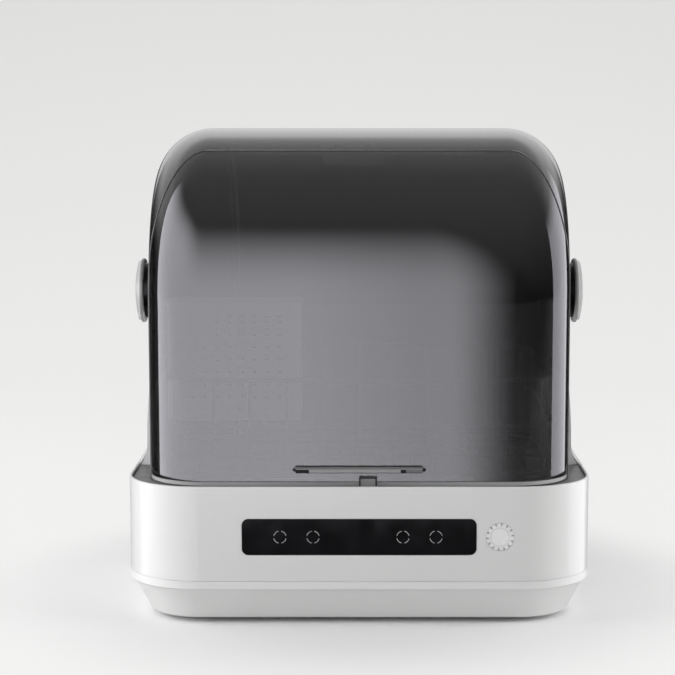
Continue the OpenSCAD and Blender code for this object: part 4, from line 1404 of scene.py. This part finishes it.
@dataclass(frozen=True)
class Paper:
    """Floor and backdrop, one curved sheet that is near white to the camera and through glass."""

    half_width: float = 6.0
    front: float = -4.0
    bend_at: float = 1.5
    bend_radius: float = 1.2
    bend_steps: int = 24
    wall: float = 3.0
    colour: Colour = (0.90, 0.90, 0.90)
    mottle: float = 0.005
    cloud: Pattern = Pattern(3.0, 2.0)
    glow: Colour = (0.93, 0.93, 0.922)
    glow_top: float = 0.9
    glow_at_top: float = 0.86
    glow_share: float = 0.8
    glow_from: tuple[float, float] = (0.2, 0.42)
    through_from: tuple[float, float] = (-1.2, -0.4)

    def shape(self) -> bpy.types.Mesh:
        """The sheet: a flat floor, a bend and a wall.

        Returns:
            The mesh.
        """
        work = bmesh.new()
        corners = [work.verts.new((x, self.front, 0)) for x in (-self.half_width, self.half_width)]
        edge = work.edges.new(corners)
        verts, edges = self.extruded(work, [edge], (0, self.bend_at - self.front, 0))
        bend = bmesh.ops.spin(
            work,
            geom=edges + verts,
            cent=(0, self.bend_at, self.bend_radius),
            axis=(1, 0, 0),
            angle=math.radians(90),
            steps=self.bend_steps,
        )
        rim = [part for part in bend["geom_last"] if isinstance(part, bmesh.types.BMEdge)]
        self.extruded(work, rim, (0, 0, self.wall))
        bmesh.ops.recalc_face_normals(work, faces=work.faces)
        for face in work.faces:
            face.smooth = True
        return finished(work, "paper_sweep")

    def extruded(
        self, work: bmesh.types.BMesh, edges: list[bmesh.types.BMEdge], move: Point
    ) -> tuple[list[bmesh.types.BMVert], list[bmesh.types.BMEdge]]:
        """Draws edges out into a strip.

        Args:
            work: The mesh.
            edges: The edges.
            move: How far and which way.

        Returns:
            The new vertices and edges.
        """
        made = bmesh.ops.extrude_edge_only(work, edges=edges)["geom"]
        verts = [part for part in made if isinstance(part, bmesh.types.BMVert)]
        bmesh.ops.translate(work, verts=verts, vec=move)
        return verts, [part for part in made if isinstance(part, bmesh.types.BMEdge)]

    def light(self) -> bpy.types.Material:
        """Matt paper, mixed with a plain glow away from the object.

        Returns:
            The material.
        """
        g = material_graph("paper")
        matt = g.node("BsdfDiffuse")
        g.feed(g.mottle(g.noise(self.cloud), self.colour, self.mottle), matt.inputs["Color"])
        place = g.place()
        parts = g.split(place)
        glow = g.node("Emission")
        g.feed(self.glow, glow.inputs["Color"])
        rise = g.remap(parts["Z"], 0.0, self.glow_top, 1.0, self.glow_at_top)
        g.feed(rise, glow.inputs["Strength"])
        path = g.node("LightPath").outputs
        behind = g.remap(parts["Y"], *self.through_from)
        through = g.calc("MULTIPLY", path["Is Transmission Ray"], behind)
        seen = g.calc("MAXIMUM", path["Is Camera Ray"], through)
        away = g.remap(g.length(place), *self.glow_from, 0.0, self.glow_share, smooth=True)
        return g.surface(g.blend(g.calc("MULTIPLY", seen, away), matt, glow))

    def build(self) -> bpy.types.Object:
        """Builds the sheet.

        Returns:
            The object.
        """
        mesh = self.shape()
        mesh.materials.append(self.light())
        made = placed("paper_sweep", mesh)
        made.visible_glossy = False
        return made


@dataclass(frozen=True)
class Room:
    """The world: even light, with a glow behind the object that only gloss and glass show."""

    floor: float = 0.055
    ceiling: float = 0.32
    shown: float = 1.12
    rear_end: float = 0.9
    rear_gain: float = 2.0
    rear_top: float = 0.1
    rear_glow: tuple[tuple[float, float], ...] = (
        (0.02, 0.0),
        (0.10, 0.38),
        (0.40, 0.46),
        (0.58, 0.56),
        (0.67, 0.34),
        (0.80, 0.23),
        (0.88, 0.14),
    )

    def rear(self, g: Graph, height: Socket) -> Socket:
        """The glow of the room's back wall by height.

        Args:
            g: The graph.
            height: The upward part of the direction.

        Returns:
            The level.
        """
        made = g.node("ValToRGB")
        stops = made.color_ramp.elements
        stops[0].color = (0, 0, 0, 1)
        stops[1].color = (self.rear_top, self.rear_top, self.rear_top, 1)
        for place, level in self.rear_glow:
            stops.new(place).color = (level, level, level, 1)
        g.feed(height, made.inputs["Fac"])
        return made.outputs["Color"]

    def build(self) -> None:
        """Makes the world."""
        world = bpy.data.worlds.new("room")
        bpy.context.scene.world = world
        g = Graph(world, "OutputWorld")
        parts = g.split(g.node("TexCoord").outputs["Generated"])
        behind = g.remap(parts["Y"], 0.0, self.rear_end, 0.0, self.rear_gain)
        lit = g.calc("MULTIPLY", behind, self.rear(g, parts["Z"]))
        total = g.calc("ADD", lit, g.remap(parts["Z"], 0.0, 1.0, self.floor, self.ceiling))
        seen = g.calc("MULTIPLY", g.node("LightPath").outputs["Is Camera Ray"], self.shown)
        back = g.node("Background")
        g.feed(g.calc("MAXIMUM", total, seen), back.inputs["Strength"])
        g.surface(back)


@dataclass(frozen=True)
class Studio:
    """Paper, lamps, cards, room and camera."""

    boxes: tuple[Softbox, ...]
    cards: tuple[ReflectorCard, ...]
    eye: Point = (0.0, -1.975, 0.478)
    target: Point = (0.0, 0.0, 0.224)
    lens: float = 105.4
    sensor: float = 36.0
    shift: tuple[float, float] = (-0.0321, 0.0427)
    clip: tuple[float, float] = (0.05, 50.0)

    def camera(self) -> None:
        """Adds the camera at the viewing angle."""
        data = bpy.data.cameras.new("camera")
        data.lens = self.lens
        data.sensor_width = self.sensor
        data.shift_x, data.shift_y = self.shift
        data.clip_start, data.clip_end = self.clip
        eye = placed("camera", data)
        aimed(eye, self.eye, self.target)
        bpy.context.scene.camera = eye

    def build(self) -> None:
        """Sets the studio up."""
        self.camera()
        Room().build()
        Paper().build()
        for box in self.boxes:
            box.build()
        for card in self.cards:
            card.build()
        bpy.context.scene.view_settings.view_transform = "Standard"


LAMPS = (
    Softbox("left_box", (-1.7, -0.4, 0.7), (0, 0, 0.16), (1.2, 1.3), 22.0),
    Softbox("right_box", (1.7, -0.4, 0.7), (0, 0, 0.16), (1.2, 1.3), 20.5),
    Softbox("front_box", (-0.8, -2.2, 1.3), (0, 0, 0.15), (1.6, 1.2), 8.0),
    Softbox("left_rim_box", (-1.6, 0.7, 0.6), (0, 0, 0.2), (0.9, 1.1), 7.0),
    Softbox("right_rim_box", (1.6, 0.7, 0.6), (0, 0, 0.2), (0.9, 1.1), 5.0),
)
CARDS = (
    ReflectorCard("front_card", -12.0, 7.9, -0.35, 3.3, 0.3, 4.2, dim=0.78),
    ReflectorCard("front_left_card", -106.0, -12.0, -0.75, 3.3, 0.3, -12.0),
    ReflectorCard("left_card", -106.0, -8.0, 0.3, 3.6, 1.1, -60.0, reach=2.4),
    ReflectorCard("tail_card", 8.0, 40.0, -0.35, 1.4, 0.4, 13.0, glow=0.06),
    ReflectorCard("right_card", 84.0, 134.0, -0.75, 2.0, 1.2, 133.0, glow=1.5),
    ReflectorCard("right_flag", 134.0, 152.0, -0.75, 1.3, 0.5, 151.0, glow=0.0),
    ReflectorCard("left_flag", -150.0, -107.0, -0.75, 1.3, 0.5, -108.0, glow=0.0),
)


def main() -> None:
    """Builds every sub-assembly and the studio."""
    logging.basicConfig(level=logging.INFO, format="%(name)s: %(message)s")
    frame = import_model()
    Studio(LAMPS, CARDS).build()
    dresser = Dresser(frame)
    for assembly in (Base(), Works(), Racks(), Hood(), Controls()):
        assembly.build(dresser)


if __name__ == "__main__":
    main()
